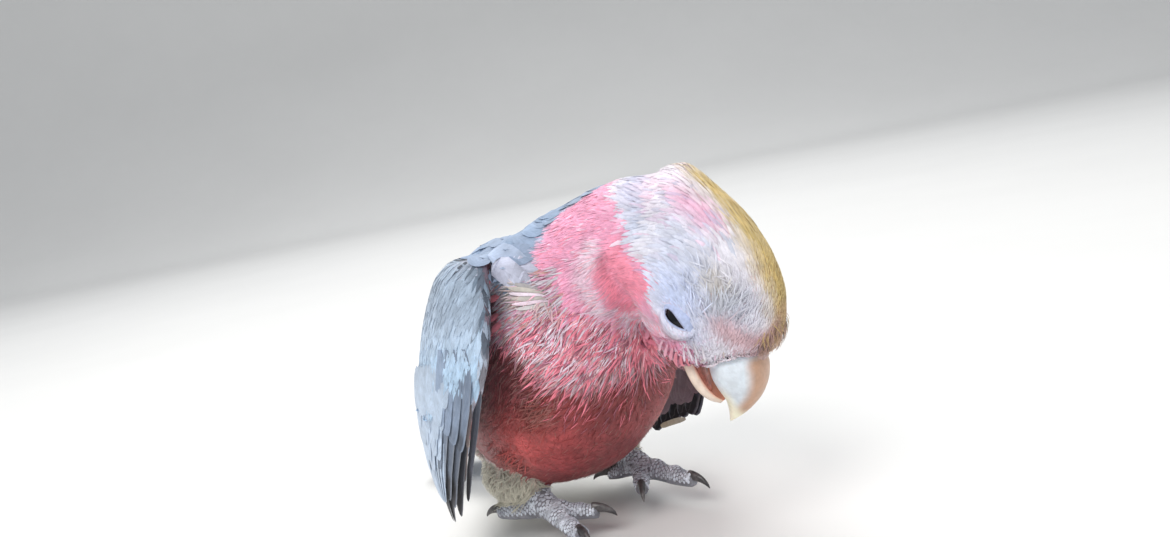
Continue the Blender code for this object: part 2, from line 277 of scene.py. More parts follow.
def store_vector(mesh: bpy.types.Mesh, name: str, values: Array) -> None:
    """Keeps three numbers a vertex as an attribute."""
    attribute = mesh.attributes.new(name, "FLOAT_VECTOR", "POINT")
    attribute.data.foreach_set("vector", values.astype(np.float32).ravel())


def store_colour(mesh: bpy.types.Mesh, name: str, values: Array) -> None:
    """Keeps four numbers a vertex as an attribute."""
    attribute = mesh.attributes.new(name, "FLOAT_COLOR", "POINT")
    attribute.data.foreach_set("color", values.astype(np.float32).ravel())


def cad_surface(name: str) -> BVHTree:
    """A CAD node's surface in metres of the world, to measure distances from."""
    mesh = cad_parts[name].data
    mesh.calc_loop_triangles()
    triangles = [tuple(item.vertices) for item in mesh.loop_triangles]
    return BVHTree.FromPolygons([vert.co for vert in mesh.vertices], triangles)


def applied(obj: bpy.types.Object) -> bpy.types.Object:
    """obj with its modifiers made part of its mesh."""
    bpy.context.view_layer.update()
    mesh = bpy.data.meshes.new_from_object(obj.evaluated_get(bpy.context.evaluated_depsgraph_get()))
    obj.modifiers.clear()
    obj.data = mesh
    return obj


def face_outwards(mesh: bpy.types.Mesh) -> None:
    """Turns the mesh's faces outwards and shades it smooth."""
    bm = bmesh.new()
    bm.from_mesh(mesh)
    bmesh.ops.recalc_face_normals(bm, faces=bm.faces)
    bm.to_mesh(mesh)
    bm.free()
    mesh.shade_smooth()


def smoothed(obj: bpy.types.Object, rounds: int) -> bpy.types.Object:
    """obj with its surface relaxed that many times."""
    smooth = obj.modifiers.new("relax", "SMOOTH")
    smooth.factor = 0.5
    smooth.iterations = rounds
    return applied(obj)


def band_quads(count: int, around: int) -> Array:
    """Corners of the quads between rings that follow one another."""
    index = np.arange(count * around).reshape(count, around)
    ahead = np.roll(index, -1, axis=1)
    return np.stack([index[:-1], ahead[:-1], ahead[1:], index[1:]], axis=-1).reshape(-1, 4)


def tube(name: str, rings: Array) -> bpy.types.Object:
    """A closed skin through rings of points.

    Args:
        name: Name of the object.
        rings: Places, as ring by point by XYZ, in the bird's frame.

    Returns:
        The object, with its faces outwards and its ends closed.
    """
    count, around, _ = rings.shape
    quads = band_quads(count, around)
    ring = np.arange(around)
    corners = np.concatenate([quads.ravel(), ring[::-1], ring + (count - 1) * around])
    sizes = np.array([4] * len(quads) + [around, around])
    mesh = mesh_from_arrays(name, rings.reshape(-1, 3), corners, sizes)
    face_outwards(mesh)
    return new_object(name, mesh)


def tube_on_head(name: str, rings: list[Array]) -> bpy.types.Object:
    """A closed skin through rings of points in the head's frame."""
    stacked = np.array(rings)
    return tube(name, BIRD.from_head(stacked.reshape(-1, 3)).reshape(stacked.shape))


def section(edge: Array, other: Array, side: Array, half: float, around: int, fullness: float) -> Array:
    """One ring of a loft, a superellipse.

    Args:
        edge: One end of its first axis.
        other: The opposite end.
        side: Direction of its second axis.
        half: Half width along the second axis.
        around: Points of the ring.
        fullness: 2 for an ellipse, more for a squarer ring.

    Returns:
        The ring's points.
    """
    angles = np.arange(around) * math.tau / around
    across = np.sign(np.cos(angles)) * np.abs(np.cos(angles)) ** (2 / fullness)
    along = np.sign(np.sin(angles)) * np.abs(np.sin(angles)) ** (2 / fullness)
    centre, reach = (edge + other) / 2, (edge - other) / 2
    return centre + np.outer(along, reach) + np.outer(across * half, side)


# ---------------------------------------------------------------------------------------------------------
# Materials
# ---------------------------------------------------------------------------------------------------------


class Shader:
    """A short way to write node trees."""

    def __init__(self, tree: bpy.types.NodeTree) -> None:
        """Works on that tree."""
        self.tree = tree

    def node(self, kind: str, **settings: object) -> bpy.types.Node:
        """A new node with these settings."""
        made = self.tree.nodes.new(kind)
        for name, value in settings.items():
            setattr(made, name, value)
        return made

    def join(self, source: object, target: bpy.types.NodeSocket) -> None:
        """Feeds a socket from another one, or sets it to a plain value."""
        if isinstance(source, bpy.types.NodeSocket):
            self.tree.links.new(source, target)
        elif target.type == "RGBA" and isinstance(source, tuple):
            target.default_value = (*source[:3], 1.0)
        else:
            target.default_value = source

    def math(self, operation: str, *values: object, clamp: bool = False) -> bpy.types.NodeSocket:
        """A sum on sockets or numbers."""
        made = self.node("ShaderNodeMath", operation=operation, use_clamp=clamp)
        for value, socket in zip(values, made.inputs):
            self.join(value, socket)
        return made.outputs[0]

    def blend(self, share: object, a: object, b: object, mode: str = "MIX") -> bpy.types.NodeSocket:
        """Colour a with that share of colour b over it."""
        made = self.node("ShaderNodeMix", data_type="RGBA", blend_type=mode, clamp_factor=True)
        for value, socket in ((share, made.inputs[0]), (a, made.inputs[6]), (b, made.inputs[7])):
            self.join(value, socket)
        return made.outputs[2]

    def remap(self, value: object, low: float, high: float, start: float, end: float) -> bpy.types.NodeSocket:
        """value moved from one range to another and kept in it."""
        made = self.node("ShaderNodeMapRange", interpolation_type="SMOOTHSTEP")
        for item, socket in zip((value, low, high, start, end), made.inputs):
            self.join(item, socket)
        return made.outputs[0]

    def channels(self, name: str) -> list[bpy.types.NodeSocket]:
        """Red, green, blue and alpha of a colour attribute."""
        read = self.node("ShaderNodeAttribute", attribute_name=name)
        split = self.node("ShaderNodeSeparateColor")
        self.join(read.outputs["Color"], split.inputs[0])
        return [*split.outputs, read.outputs["Alpha"]]

    def grain(
        self, vector: object, scale: float, detail: float = 3.0, roughness: float = 0.6
    ) -> bpy.types.NodeSocket:
        """Noise from 0 to 1 over a vector."""
        made = self.node("ShaderNodeTexNoise")
        self.join(vector, made.inputs["Vector"])
        made.inputs["Scale"].default_value = scale
        made.inputs["Detail"].default_value = detail
        made.inputs["Roughness"].default_value = roughness
        return made.outputs["Fac"]

    def stretched(self, vector: object, scale: tuple[float, float, float]) -> bpy.types.NodeSocket:
        """The vector scaled along its axes."""
        made = self.node("ShaderNodeMapping")
        self.join(vector, made.inputs["Vector"])
        made.inputs["Scale"].default_value = scale
        return made.outputs[0]


def new_group(name: str, inputs: dict[str, float | Colour], outputs: dict[str, str]) -> bpy.types.NodeTree:
    """An empty shader group.

    Args:
        name: Its name.
        inputs: Default of each input, a number or a colour.
        outputs: Socket type of each output.

    Returns:
        The group's tree, with its two end nodes.
    """
    group = bpy.data.node_groups.new(name, "ShaderNodeTree")
    for word, value in inputs.items():
        kind = "NodeSocketColor" if isinstance(value, tuple) else "NodeSocketFloat"
        socket = group.interface.new_socket(word, in_out="INPUT", socket_type=kind)
        socket.default_value = (*value, 1.0) if isinstance(value, tuple) else value
    for word, kind in outputs.items():
        group.interface.new_socket(word, in_out="OUTPUT", socket_type=kind)
    group.nodes.new("NodeGroupInput")
    group.nodes.new("NodeGroupOutput")
    return group


def group_ends(group: bpy.types.NodeTree) -> tuple[bpy.types.Node, bpy.types.Node]:
    """The group's input and output nodes."""
    return group.nodes["Group Input"], group.nodes["Group Output"]


# The four channels of each pattern attribute, laid over one another in this order.
PATTERNS = {
    "pattern_a": ("rose", "mantle", "cream", "bare"),
    "pattern_b": ("lilac", "brown", "down", "dark"),
    "pattern_c": ("slate", "deep", "glow", "foot"),
}


@dataclass(frozen=True)
class MarkingColours:
    """Colours of the plumage: pale where no attribute calls for another."""

    pale: Colour = (0.82, 0.79, 0.86)
    rose: Colour = (0.83, 0.38, 0.55)
    mantle: Colour = (0.31, 0.43, 0.62)
    # cream also serves as painted highlight on the wing's long feathers
    cream: Colour = (0.65, 0.48, 0.178)
    # bare also serves as painted shade in the gap before each wing
    bare: Colour = (0.19, 0.022, 0.022)
    lilac: Colour = (0.56, 0.64, 0.88)
    brown: Colour = (0.54, 0.30, 0.27)
    down: Colour = (0.60, 0.57, 0.47)
    # dark is also painted shade: on the wings' upper parts, beside the wings, in the crop's fold and under the spread
    # wing
    dark: Colour = (0.035, 0.035, 0.05)
    slate: Colour = (0.43, 0.59, 0.77)
    deep: Colour = (0.90, 0.24, 0.31)
    # painted highlight: the bare belly's red, made brighter where the light falls
    glow: Colour = (0.52, 0.06, 0.055)
    foot: Colour = (0.22, 0.22, 0.25)

    def group(self) -> bpy.types.NodeTree:
        """A shader group that turns the three pattern attributes into one colour."""
        found = bpy.data.node_groups.get("plumage_markings")
        if found:
            return found
        group = new_group("plumage_markings", {"Strength": 1.0}, {"Color": "NodeSocketColor"})
        shader = Shader(group)
        ends = group_ends(group)
        colour: object = self.pale
        for name, words in PATTERNS.items():
            for mask, word in zip(shader.channels(name), words):
                share = shader.math("MULTIPLY", mask, ends[0].outputs["Strength"])
                colour = shader.blend(share, colour, getattr(self, word))
        shader.join(colour, ends[1].inputs["Color"])
        return group


def vane_group() -> bpy.types.NodeTree:
    """A shader group for the barbs and shaft of a vane.

    Returns:
        A group whose Along and Across set the lie of the barbs, and which puts out the streaks, the share of
        the way to the tip, the shaft, a random number for each vane, a height and the share of the way from
        the shaft to the margin.
    """
    found = bpy.data.node_groups.get("vane_relief")
    if found:
        return found
    outputs = dict.fromkeys(("Streak", "Tip", "Shaft", "Random", "Height", "Breadth"), "NodeSocketFloat")
    group = new_group("vane_relief", {"Along": 0.0, "Across": 5.0, "Shaft Width": 0.12}, outputs)
    shader = Shader(group)
    given, result = group_ends(group)
    read = shader.node("ShaderNodeAttribute", attribute_name="vane")
    split = shader.node("ShaderNodeSeparateXYZ")
    shader.join(read.outputs["Vector"], split.inputs[0])
    along, across, random = split.outputs
    breadth = shader.math("ABSOLUTE", across)
    barb = shader.math(
        "ADD",
        shader.math("MULTIPLY", along, given.outputs["Along"]),
        shader.math("MULTIPLY", breadth, given.outputs["Across"]),
    )
    place = shader.node("ShaderNodeCombineXYZ")
    shader.join(barb, place.inputs[0])
    shader.join(shader.math("MULTIPLY", along, 1.2), place.inputs[1])
    own = shader.math("MULTIPLY", random, 60.0)  # a stretch of the noise for each half of each vane
    shader.join(shader.math("ADD", own, shader.math("SIGN", across)), place.inputs[2])
    streak = shader.grain(place.outputs[0], 1.0, 3.0, 0.7)
    shaft = shader.remap(breadth, 0.0, given.outputs["Shaft Width"], 1.0, 0.0)
    height = shader.math("ADD", streak, shaft)
    for value, word in zip((streak, along, shaft, random, height, breadth), outputs):
        shader.join(value, result.inputs[word])
    return group


def mottle_group() -> bpy.types.NodeTree:
    """A shader group that darkens and lightens a colour in soft patches of two sizes."""
    found = bpy.data.node_groups.get("mottle")
    if found:
        return found
    outputs = {"Color": "NodeSocketColor", "Fac": "NodeSocketFloat"}
    group = new_group("mottle", {"Color": (0.5, 0.5, 0.5), "Scale": 100.0, "Amount": 0.3}, outputs)
    shader = Shader(group)
    given, result = group_ends(group)
    coordinates = shader.node("ShaderNodeTexCoord")
    texture = shader.node("ShaderNodeTexNoise")
    shader.join(coordinates.outputs["Object"], texture.inputs["Vector"])
    shader.join(given.outputs["Scale"], texture.inputs["Scale"])
    texture.inputs["Detail"].default_value = 5.0
    texture.inputs["Roughness"].default_value = 0.65
    patch = shader.remap(texture.outputs["Fac"], 0.3, 0.7, 0.0, 1.0)
    low = shader.math("SUBTRACT", 1.0, given.outputs["Amount"])
    high = shader.math("ADD", 1.0, given.outputs["Amount"])
    spread = shader.math("SUBTRACT", high, low)
    factor = shader.math("ADD", low, shader.math("MULTIPLY", patch, spread))
    colour = shader.blend(1.0, given.outputs["Color"], factor, "MULTIPLY")
    shader.join(colour, result.inputs["Color"])
    shader.join(patch, result.inputs["Fac"])
    return group


@dataclass(frozen=True)
class Finish:
    """What every material has. A finish of its own overrides paint()."""

    name: str
    roughness: float = 0.6

    def material(self) -> bpy.types.Material:
        """The material, made once."""
        found = bpy.data.materials.get(self.name)
        if found:
            return found
        made = bpy.data.materials.new(self.name)
        made.use_nodes = True
        principled = made.node_tree.nodes["Principled BSDF"]
        principled.inputs["Roughness"].default_value = self.roughness
        self.paint(Shader(made.node_tree), principled)
        return made

    def paint(self, shader: Shader, principled: bpy.types.Node) -> None:
        """Adds the finish's own nodes."""
        raise NotImplementedError

    def put_on(self, obj: bpy.types.Object) -> bpy.types.Object:
        """obj with this finish alone."""
        obj.data.materials.clear()
        obj.data.materials.append(self.material())
        return obj

    @staticmethod
    def placed(shader: Shader, group: bpy.types.NodeTree, **values: object) -> bpy.types.Node:
        """A group in this material with its own values, given by socket name with _ for a space."""
        made = shader.node("ShaderNodeGroup", node_tree=group)
        for word, value in values.items():
            shader.join(value, made.inputs[word.replace("_", " ")])
        return made

    @classmethod
    def mottled(
        cls, shader: Shader, principled: bpy.types.Node, colour: object, scale: float, amount: float
    ) -> None:
        """Feeds the base colour from this one, in soft patches."""
        patchy = cls.placed(shader, mottle_group(), Color=colour, Scale=scale, Amount=amount)
        shader.join(patchy.outputs["Color"], principled.inputs["Base Color"])

    @staticmethod
    def set_inputs(node: bpy.types.Node, **values: object) -> None:
        """Sets a node's inputs, given by socket name with _ for a space."""
        for word, value in values.items():
            node.inputs[word.replace("_", " ")].default_value = value

    @staticmethod
    def bump(shader: Shader, principled: bpy.types.Node, height: object, depth: float, strength: float) -> None:
        """Feeds the surface's normal from a height."""
        made = shader.node("ShaderNodeBump")
        made.inputs["Strength"].default_value = strength
        made.inputs["Distance"].default_value = depth
        shader.join(height, made.inputs["Height"])
        shader.join(made.outputs[0], principled.inputs["Normal"])


@dataclass(frozen=True)
class PlumageFinish(Finish):
    """Feathers: the markings streaked by barbs, with painted shade at the root and paler at the tip."""

    name: str = "plumage"
    roughness: float = 0.75
    along: float = 0.0
    across: float = 5.0
    contrast: float = 0.45
    # painted shade: how dark a vane's root is, where its neighbours overlap it
    root_shade: float = 0.55
    tip_shade: float = 1.12
    spread: float = 0.16
    shaft: float = 0.0  # how far the shaft is paler
    fringe: float = 0.0  # how far the margins of dark vanes are paler
    dark_tip: float = 0.0  # how far the tips of dark vanes are black
    relief: float = 0.2
    margin_grey: Colour = (0.62, 0.62, 0.62)
    tip_black: Colour = (0.012, 0.011, 0.016)
    shaft_ivory: Colour = (0.9, 0.88, 0.85)

    def paint(self, shader: Shader, principled: bpy.types.Node) -> None:
        """Adds the markings and the vane's relief."""
        base = self.placed(shader, MarkingColours().group()).outputs["Color"]
        vane = self.placed(shader, vane_group(), Along=self.along, Across=self.across).outputs
        streak = shader.remap(vane["Streak"], 0.3, 0.7, 1 - self.contrast, 1 + self.contrast * 0.5)
        # painted shade towards each vane's root, paler towards its tip
        length = shader.remap(vane["Tip"], 0.0, 0.8, self.root_shade, self.tip_shade)
        chance = shader.remap(vane["Random"], 0.0, 1.0, 1 - self.spread, 1 + self.spread)
        factor = shader.math("MULTIPLY", streak, shader.math("MULTIPLY", length, chance))
        colour = shader.blend(1.0, base, factor, "MULTIPLY")
        if self.fringe or self.dark_tip:
            read = shader.node("ShaderNodeAttribute", attribute_name="pattern_b")
            black = shader.remap(read.outputs["Alpha"], 0.3, 0.6, 0.0, 1.0)
            margin = shader.remap(vane["Breadth"], 0.72, 0.95, 0.0, self.fringe)
            colour = shader.blend(shader.math("MULTIPLY", margin, black), colour, self.margin_grey)
            centre = shader.remap(vane["Breadth"], 0.8, 0.6, 0.0, self.dark_tip)
            end = shader.math("MULTIPLY", shader.remap(vane["Tip"], 0.74, 0.84, 0.0, 1.0), black)
            colour = shader.blend(shader.math("MULTIPLY", centre, end), colour, self.tip_black)
        if self.shaft:
            colour = shader.blend(shader.math("MULTIPLY", vane["Shaft"], self.shaft), colour, self.shaft_ivory)
        self.mottled(shader, principled, colour, 260.0, 0.14)
        self.set_inputs(principled, Sheen_Weight=0.25, Sheen_Roughness=0.5, Specular_IOR_Level=0.25)
        self.bump(shader, principled, vane["Height"], 0.0002, self.relief)


@dataclass(frozen=True)
class SkinFinish(Finish):
    """Skin with the coat's markings, flushed and finely wrinkled."""

    name: str = "skin"
    roughness: float = 0.48
    flush: float = 0.18
    blood: Colour = (0.50, 0.16, 0.18)

    def paint(self, shader: Shader, principled: bpy.types.Node) -> None:
        """Adds the markings, a flush away from the feet and wings, veins of shade and the wrinkles."""
        base = self.placed(shader, MarkingColours().group()).outputs["Color"]
        slate, _, _, foot = shader.channels("pattern_c")
        plain = shader.math("ADD", slate, foot, clamp=True)
        share = shader.math("MULTIPLY", shader.math("SUBTRACT", 1.0, plain), self.flush)
        flush = shader.blend(share, base, self.blood)
        coarse = self.placed(shader, mottle_group(), Color=flush, Scale=150.0, Amount=0.22)
        self.mottled(shader, principled, coarse.outputs["Color"], 700.0, 0.2)
        coordinates = shader.node("ShaderNodeTexCoord").outputs["Object"]
        wrinkles = shader.grain(shader.stretched(coordinates, (1.0, 1.0, 0.45)), 1100.0, 4.0)
        follicles = shader.node("ShaderNodeTexVoronoi")
        shader.join(coordinates, follicles.inputs["Vector"])
        follicles.inputs["Scale"].default_value = 620.0
        dots = shader.remap(follicles.outputs["Distance"], 0.0, 0.35, 1.0, 0.0)
        height = shader.math("ADD", wrinkles, shader.math("MULTIPLY", dots, 0.8))
        self.bump(shader, principled, height, 0.0003, 0.45)
        self.set_inputs(
            principled,
            Specular_IOR_Level=0.4,
            Subsurface_Weight=0.08,
            Subsurface_Radius=(1.0, 0.35, 0.25),
            Subsurface_Scale=0.0012,
        )


@dataclass(frozen=True)
class HornFinish(Finish):
    """Horn of the bill: ivory with a warm ridge, pale tip and fine growth lines."""

    name: str = "bill_horn"
    roughness: float = 0.34
    side: Colour = (0.71, 0.77, 0.83)
    ridge: Colour = (0.54, 0.32, 0.21)
    tip: Colour = (0.95, 0.90, 0.70)
    edge: Colour = (0.82, 0.62, 0.46)
    inside: Colour = (0.98, 0.46, 0.32)

    def paint(self, shader: Shader, principled: bpy.types.Node) -> None:
        """Adds the zones, read from the tint attribute: ridge, tip, edge and, as alpha, inside."""
        colour: object = self.side
        for share, over in zip(shader.channels("tint"), (self.ridge, self.tip, self.edge, self.inside)):
            colour = shader.blend(share, colour, over)
        self.mottled(shader, principled, colour, 420.0, 0.1)
        coordinates = shader.node("ShaderNodeTexCoord").outputs["Object"]
        lines = shader.grain(shader.stretched(coordinates, (1.0, 1.0, 0.25)), 1500.0, 3.0)
        self.bump(shader, principled, lines, 0.00012, 0.35)
        self.set_inputs(
            principled, Subsurface_Weight=0.12, Subsurface_Radius=(0.9, 0.6, 0.4), Subsurface_Scale=0.0015
        )
        roughness = shader.remap(lines, 0.2, 0.8, self.roughness - 0.08, self.roughness + 0.14)
        shader.join(roughness, principled.inputs["Roughness"])


@dataclass(frozen=True)
class EyeFinish(Finish):
    """A wet, almost black eye, with a dark brown iris about the pupil."""

    name: str = "eye_dark"
    roughness: float = 0.04
    pupil: Colour = (0.004, 0.004, 0.006)
    iris: Colour = (0.022, 0.012, 0.012)

    def paint(self, shader: Shader, principled: bpy.types.Node) -> None:
        """Adds the iris, read from the tint attribute."""
        colour = shader.blend(shader.channels("tint")[0], self.pupil, self.iris)
        self.mottled(shader, principled, colour, 900.0, 0.3)
        self.set_inputs(principled, Specular_IOR_Level=0.3)


@dataclass(frozen=True)
class LidFinish(Finish):
    """Bare, finely pebbled skin of the lids."""

    name: str = "lid_skin"
    roughness: float = 0.5
    colour: Colour = (0.47, 0.54, 0.77)
    rim: Colour = (0.26, 0.27, 0.40)
    edge: Colour = (0.70, 0.64, 0.74)

    def paint(self, shader: Shader, principled: bpy.types.Node) -> None:
        """Adds the darker rim, the paler outer edge and the pebbles."""
        rim, edge, _, _ = shader.channels("tint")
        colour = shader.blend(rim, shader.blend(edge, self.colour, self.edge), self.rim)
        self.mottled(shader, principled, colour, 700.0, 0.14)
        cells = shader.node("ShaderNodeTexVoronoi")
        shader.join(shader.node("ShaderNodeTexCoord").outputs["Object"], cells.inputs["Vector"])
        cells.inputs["Scale"].default_value = 2600.0
        self.bump(shader, principled, cells.outputs["Distance"], -0.0001, 0.35)


@dataclass(frozen=True)
class ScaleFinish(Finish):
    """Scaly skin of the feet and the dark horn of the claws."""

    name: str = "scales"
    roughness: float = 0.5
    low: Colour = (0.16, 0.15, 0.16)
    high: Colour = (0.50, 0.50, 0.55)
    fine: float = 1200.0

    def paint(self, shader: Shader, principled: bpy.types.Node) -> None:
        """Adds the patchy grey."""
        coordinates = shader.node("ShaderNodeTexCoord").outputs["Object"]
        patch = shader.remap(shader.grain(coordinates, 260.0, 4.0), 0.35, 0.65, 0.0, 1.0)
        colour = shader.blend(patch, self.low, self.high)
        self.mottled(shader, principled, colour, 900.0, 0.25)
        grain = shader.grain(coordinates, self.fine, 4.0)
        self.bump(shader, principled, grain, 0.00015, 0.5)


@dataclass(frozen=True)
class FloorFinish(Finish):
    """A plain pale floor."""

    name: str = "studio_floor"
    roughness: float = 0.8
    colour: Colour = (0.78, 0.78, 0.77)

    def paint(self, shader: Shader, principled: bpy.types.Node) -> None:
        """Adds a faint unevenness to the pale paint."""
        self.mottled(shader, principled, self.colour, 3.0, 0.012)


# ---------------------------------------------------------------------------------------------------------
# Skin and its markings
# ---------------------------------------------------------------------------------------------------------


@dataclass(frozen=True)
class Landmarks:
    """Lines on the bird that the markings follow."""

    # Middle of the bird from the bill to the tail tip, which the coat's lie follows.
    spine: Line = (
        *((12, -47, 42), (13.4, -51, 60), (13, -49, 74), (8, -38, 73), (2, -20, 66)),
        *((0, 0, 50), (0, 24, 33), (0, 48, 15), (0, 90, 2)),
    )
    # Fold on the side of the neck, in the head's frame with X counted outwards.
    fold: Line = ((14.6, 11.5, -20.5), (12.6, 7, -21.5), (9.6, 2.6, -21.8), (6, -1.4, -21.8))
    # Raised pale lip behind the fold.
    lip: Line = ((15, 15.5, -20), (13.6, 11.7, -25), (12.4, 6.6, -26.4), (9.2, 0.6, -26.6), (6.6, -4.2, -22))
    # Lower edge of the pale cap in the head's frame: (Y, Z).
    cap_edge: Line = (
        *((-24, -9), (-16, -9.5), (-12, -10.6), (-8.8, -12.2), (-5, -13.2), (-2.1, -12.5)),
        *((2.6, -9.0), (11, -8.5), (18.8, -9.6), (24.3, -11.1), (29, -12)),
    )
    # Half width of the cream crown in the head's frame: (Y, X).
    crown_edge: Line = ((-18, 5.4), (-12, 7.2), (-5, 8.8), (1.4, 9), (9.5, 6.6), (20, 4.6), (29, 2.4))
    skull: Place = (0, 0, -4)  # its middle, in the head's frame
    mouth: Place = (0, -17.0, -9.5)  # corner of the mouth, with no X
    bill: Place = (0, -18, -6)  # middle of the bill's root, in the head's frame
    bill_reach: float = 24.0  # how far from it the feathers heed the bill
    # Dusty feathers over the gape, and the dark bristles of the forehead.
    lore: Line = ((14, -14, -0.4), (12, -17, 0.4), (8.9, -20.2, 2.6), (6, -21.3, 5))
    bristles: Line = ((5.6, -20.8, 5.6), (4.9, -19.4, 8), (3.3, -18.6, 9.6))
    # Pale line from the fold to the chin, under the eye.
    chin_line: Line = ((2.9, -3.3, -24.9), (8.5, -5, -21), (12, -8.4, -16.7), (14.1, -11, -12))
    # Painted highlight on the bare belly, its tan spot and the cream gap before the wing, in the bird's frame.
    glow: Place = (26, -8, 26)
    tan: Place = (22, -0.9, 21.4)
    gap: Line = ((25.2, -22.1, 68), (22.9, -24.9, 66.7), (19.5, -26.8, 64.8))
    # Two pale patches of stubs on the belly's right side.
    flank_stubs: Place = (-23.4, -18.9, 35.2)
    front_stubs: Place = (-12, -30, 37)
    wing_tip: Place = (39.5, 12, -6)
    # Small open fold of skin at the crop, and the X where the breast's growing feathers part.
    crop_fold: Place = (6.0, -28.0, 47.0)
    parting: float = 6.0
    # Leading edge of the wing: (Z, Y, X).
    wing_front: Line = (
        *((25, -6, 39.6), (39, -16, 38.8), (52, -23, 37)),
        *((63, -24, 34.6), (73.5, -20.5, 31), (78, -15, 28)),
    )

    @staticmethod
    def before_face(head: Array) -> Array:
        """How far places lie ahead of the line where the face's feathers end at the side of the bill."""
        return -(head[:, 1] + 19.9 + 0.39 * (head[:, 2] + 9.5))

    def spine_points(self) -> Array:
        """The spine as dense points."""
        return smooth_curve(self.spine, 10)

    @staticmethod
    def mirrored(points: Array) -> Array:
        """The places brought to the left side."""
        return np.abs(points) * (1, 0, 0) + points * (0, 1, 1)

    @classmethod
    def gap_to(cls, line: Line, points: Array) -> Array:
        """Distance of places from a line that is given for the left side, on either side."""
        dense = smooth_curve(line, 6)
        return np.min(np.linalg.norm(cls.mirrored(points)[:, None] - dense[None], axis=2), axis=1)

    def skull_gap(self, head: Array) -> Array:
        """Distance of places in the head's frame from the middle of the skull."""
        return np.linalg.norm(head - self.skull, axis=1)


LINES = Landmarks()


class Markings:
    """Where each colour of the plumage lies, from a place on the bird and the part it is on."""

    @staticmethod
    def mantle_edge(x: Array) -> Array:
        """Y behind which the back is grey, at that X."""
        return -23.5 - 11 * np.clip(1 - np.abs(x - 3) / 14, 0, 1)

    @staticmethod
    def belly_edge(x: Array) -> Array:
        """Z under which the belly is bare, at that X."""
        return 38.5 + 20 * np.clip(np.abs(x) / 29, 0, 1.1) ** 4

    @staticmethod
    def breast_top(x: Array) -> Array:
        """Z of the upper end of the breast's growing feathers, at that X."""
        return 53 + 10 * np.clip(np.abs(x) / 17, 0, 1) ** 1.2

    @staticmethod
    def cap_share(head: Array, wobble: Array) -> Array:
        """Share of the pale cap at places in the head's frame."""
        y, z = zip(*LINES.cap_edge)
        return ramp(head[:, 2] - np.interp(head[:, 1], y, z) + 0.7 * wobble, -0.9, 0.9)

    @classmethod
    def head_masks(cls, head: Array, streak: Array) -> dict[str, Array]:
        """Shares of the tints within the cap.

        Args:
            head: Places in the head's frame.
            streak: Noise drawn out along the head, from -1 to 1.

        Returns:
            Shares by colour name, to be limited to the cap.
        """
        hy, hz = head[:, 1], head[:, 2]
        out = np.abs(head[:, 0])

        def patch(y: float, z: float, width: float, length: float = 1.0) -> Array:
            """A soft spot on both sides of the head, drawn out along it."""
            return bell(np.hypot((hy - y) / length, hz - z), width)

        y, x = zip(*LINES.crown_edge)
        cream = ramp(np.interp(hy, y, x) - out + 1.6 * streak, -3.0, 5.0) * ramp(hz, 1.5, 6) * ramp(hy, 26, 15)
        olive = patch(-5, 2.7, 2.6) * 0.35
        # Pink beside the crown, in streaks and on the nape.
        pink = bell(out - 10.3 - streak, 2.6) * ramp(hy, 0, 8) * ramp(hz, 1, 5) * 0.75
        pink = np.maximum(pink, ramp(streak, 0.15, 0.8) * ramp(hy, 2, 14) * 0.5)
        pink = np.maximum(pink, patch(24, -3, 6) * 0.35)
        # Blue behind the eye, on the temple and over the eye.
        blue = bell(hz + 6.3, 3.4) * ramp(hy, 8, 15) * 0.46
        blue = np.maximum(blue, patch(4, 0, 5.5, 2.2) * (0.34 + 0.23 * streak))
        blue = np.maximum(blue, patch(-9.5, 1.5, 5.5, 1.4) * (0.42 + 0.1 * streak))
        lid = patch(-4.2, -6.2, 6.2, 1.25) * 0.95
        lore = LINES.gap_to(LINES.lore, head)
        dark = bell(LINES.gap_to(LINES.bristles, head), 1.6)
        front = ramp(-hy, 12.5, 16)
        return {
            "rose": np.clip(np.maximum(pink, bell(lore, 2.6) * 0.5), 0, 1) * (1 - cream),
            "mantle": np.clip(1.12 * blue, 0, 1) * (1 - cream),
            "cream": np.clip(np.maximum(cream, olive) + dark * 0.3, 0, 1) * (1 - 0.6 * bell(lore, 3)),
            "lilac": np.maximum(lid, patch(-12, -7, 3.6) * 0.5),
            "down": patch(-7, 1, 5.0, 1.3) * np.clip(0.2 + 0.25 * streak, 0, 1),
            "brown": np.clip(bell(lore, 3.0) * 0.6 + front * ramp(out, 7, 3) * 0.3 + dark * 0.6, 0, 0.8),
            "dark": dark * 0.3,
        }

    @classmethod
    def masks(cls, points: Array, parts: Array) -> dict[str, Array]:
        """Share of each colour.

        Args:
            points: Places in the bird's frame.
            parts: Part of each place, as a Part's value.

        Returns:
            One array of shares from 0 to 1 for each colour name.
        """
        head = BIRD.to_head(points)
        wobble = noise(points, 5.0, 1) * 1.2 + noise(points, 1.6, 2) * 0.8
        streak = noise(head * (1, 0.28, 1), 2.0, 3) * 0.75 + noise(head * (1, 0.5, 1), 0.9, 4) * 0.5
        x, y, z = (points + wobble[:, None] * 0.8).T
        out = np.abs(x)
        _, hy, hz = head.T
        body, wing, thigh, foot = ((parts == part.value).astype(float) for part in Part)
        cap = cls.cap_share(head, wobble) * body
        skull = np.maximum(cap, ramp(LINES.skull_gap(head), 25, 20))
        wing_root = ramp(out, 23.5, 26) * ramp(-y, 5, 9) * ramp(75 - z, 0, 2)  # hollow before the wing
        # Back: grey from the mantle's edge on, and down the rump.
        grey = ramp(y, cls.mantle_edge(x) - 1.5, cls.mantle_edge(x) + 1.5) * ramp(z, 61.5, 64.5)
        grey *= 1 - wing_root
        grey = np.maximum(grey, ramp(y - 0.35 * (60 - z), 4, 9) * ramp(z, 26, 32)) * (1 - cap) * body
        front_shoulder = ramp(-y, 4, 13) * ramp(out, 12, 18) * (0.5 + 0.5 * noise(points, 4.0, 6))
        rump = ramp(y + 0.3 * wobble, 22, 30)
        under = ramp(y - 0.9 * (z - 8), 9, 16) * body
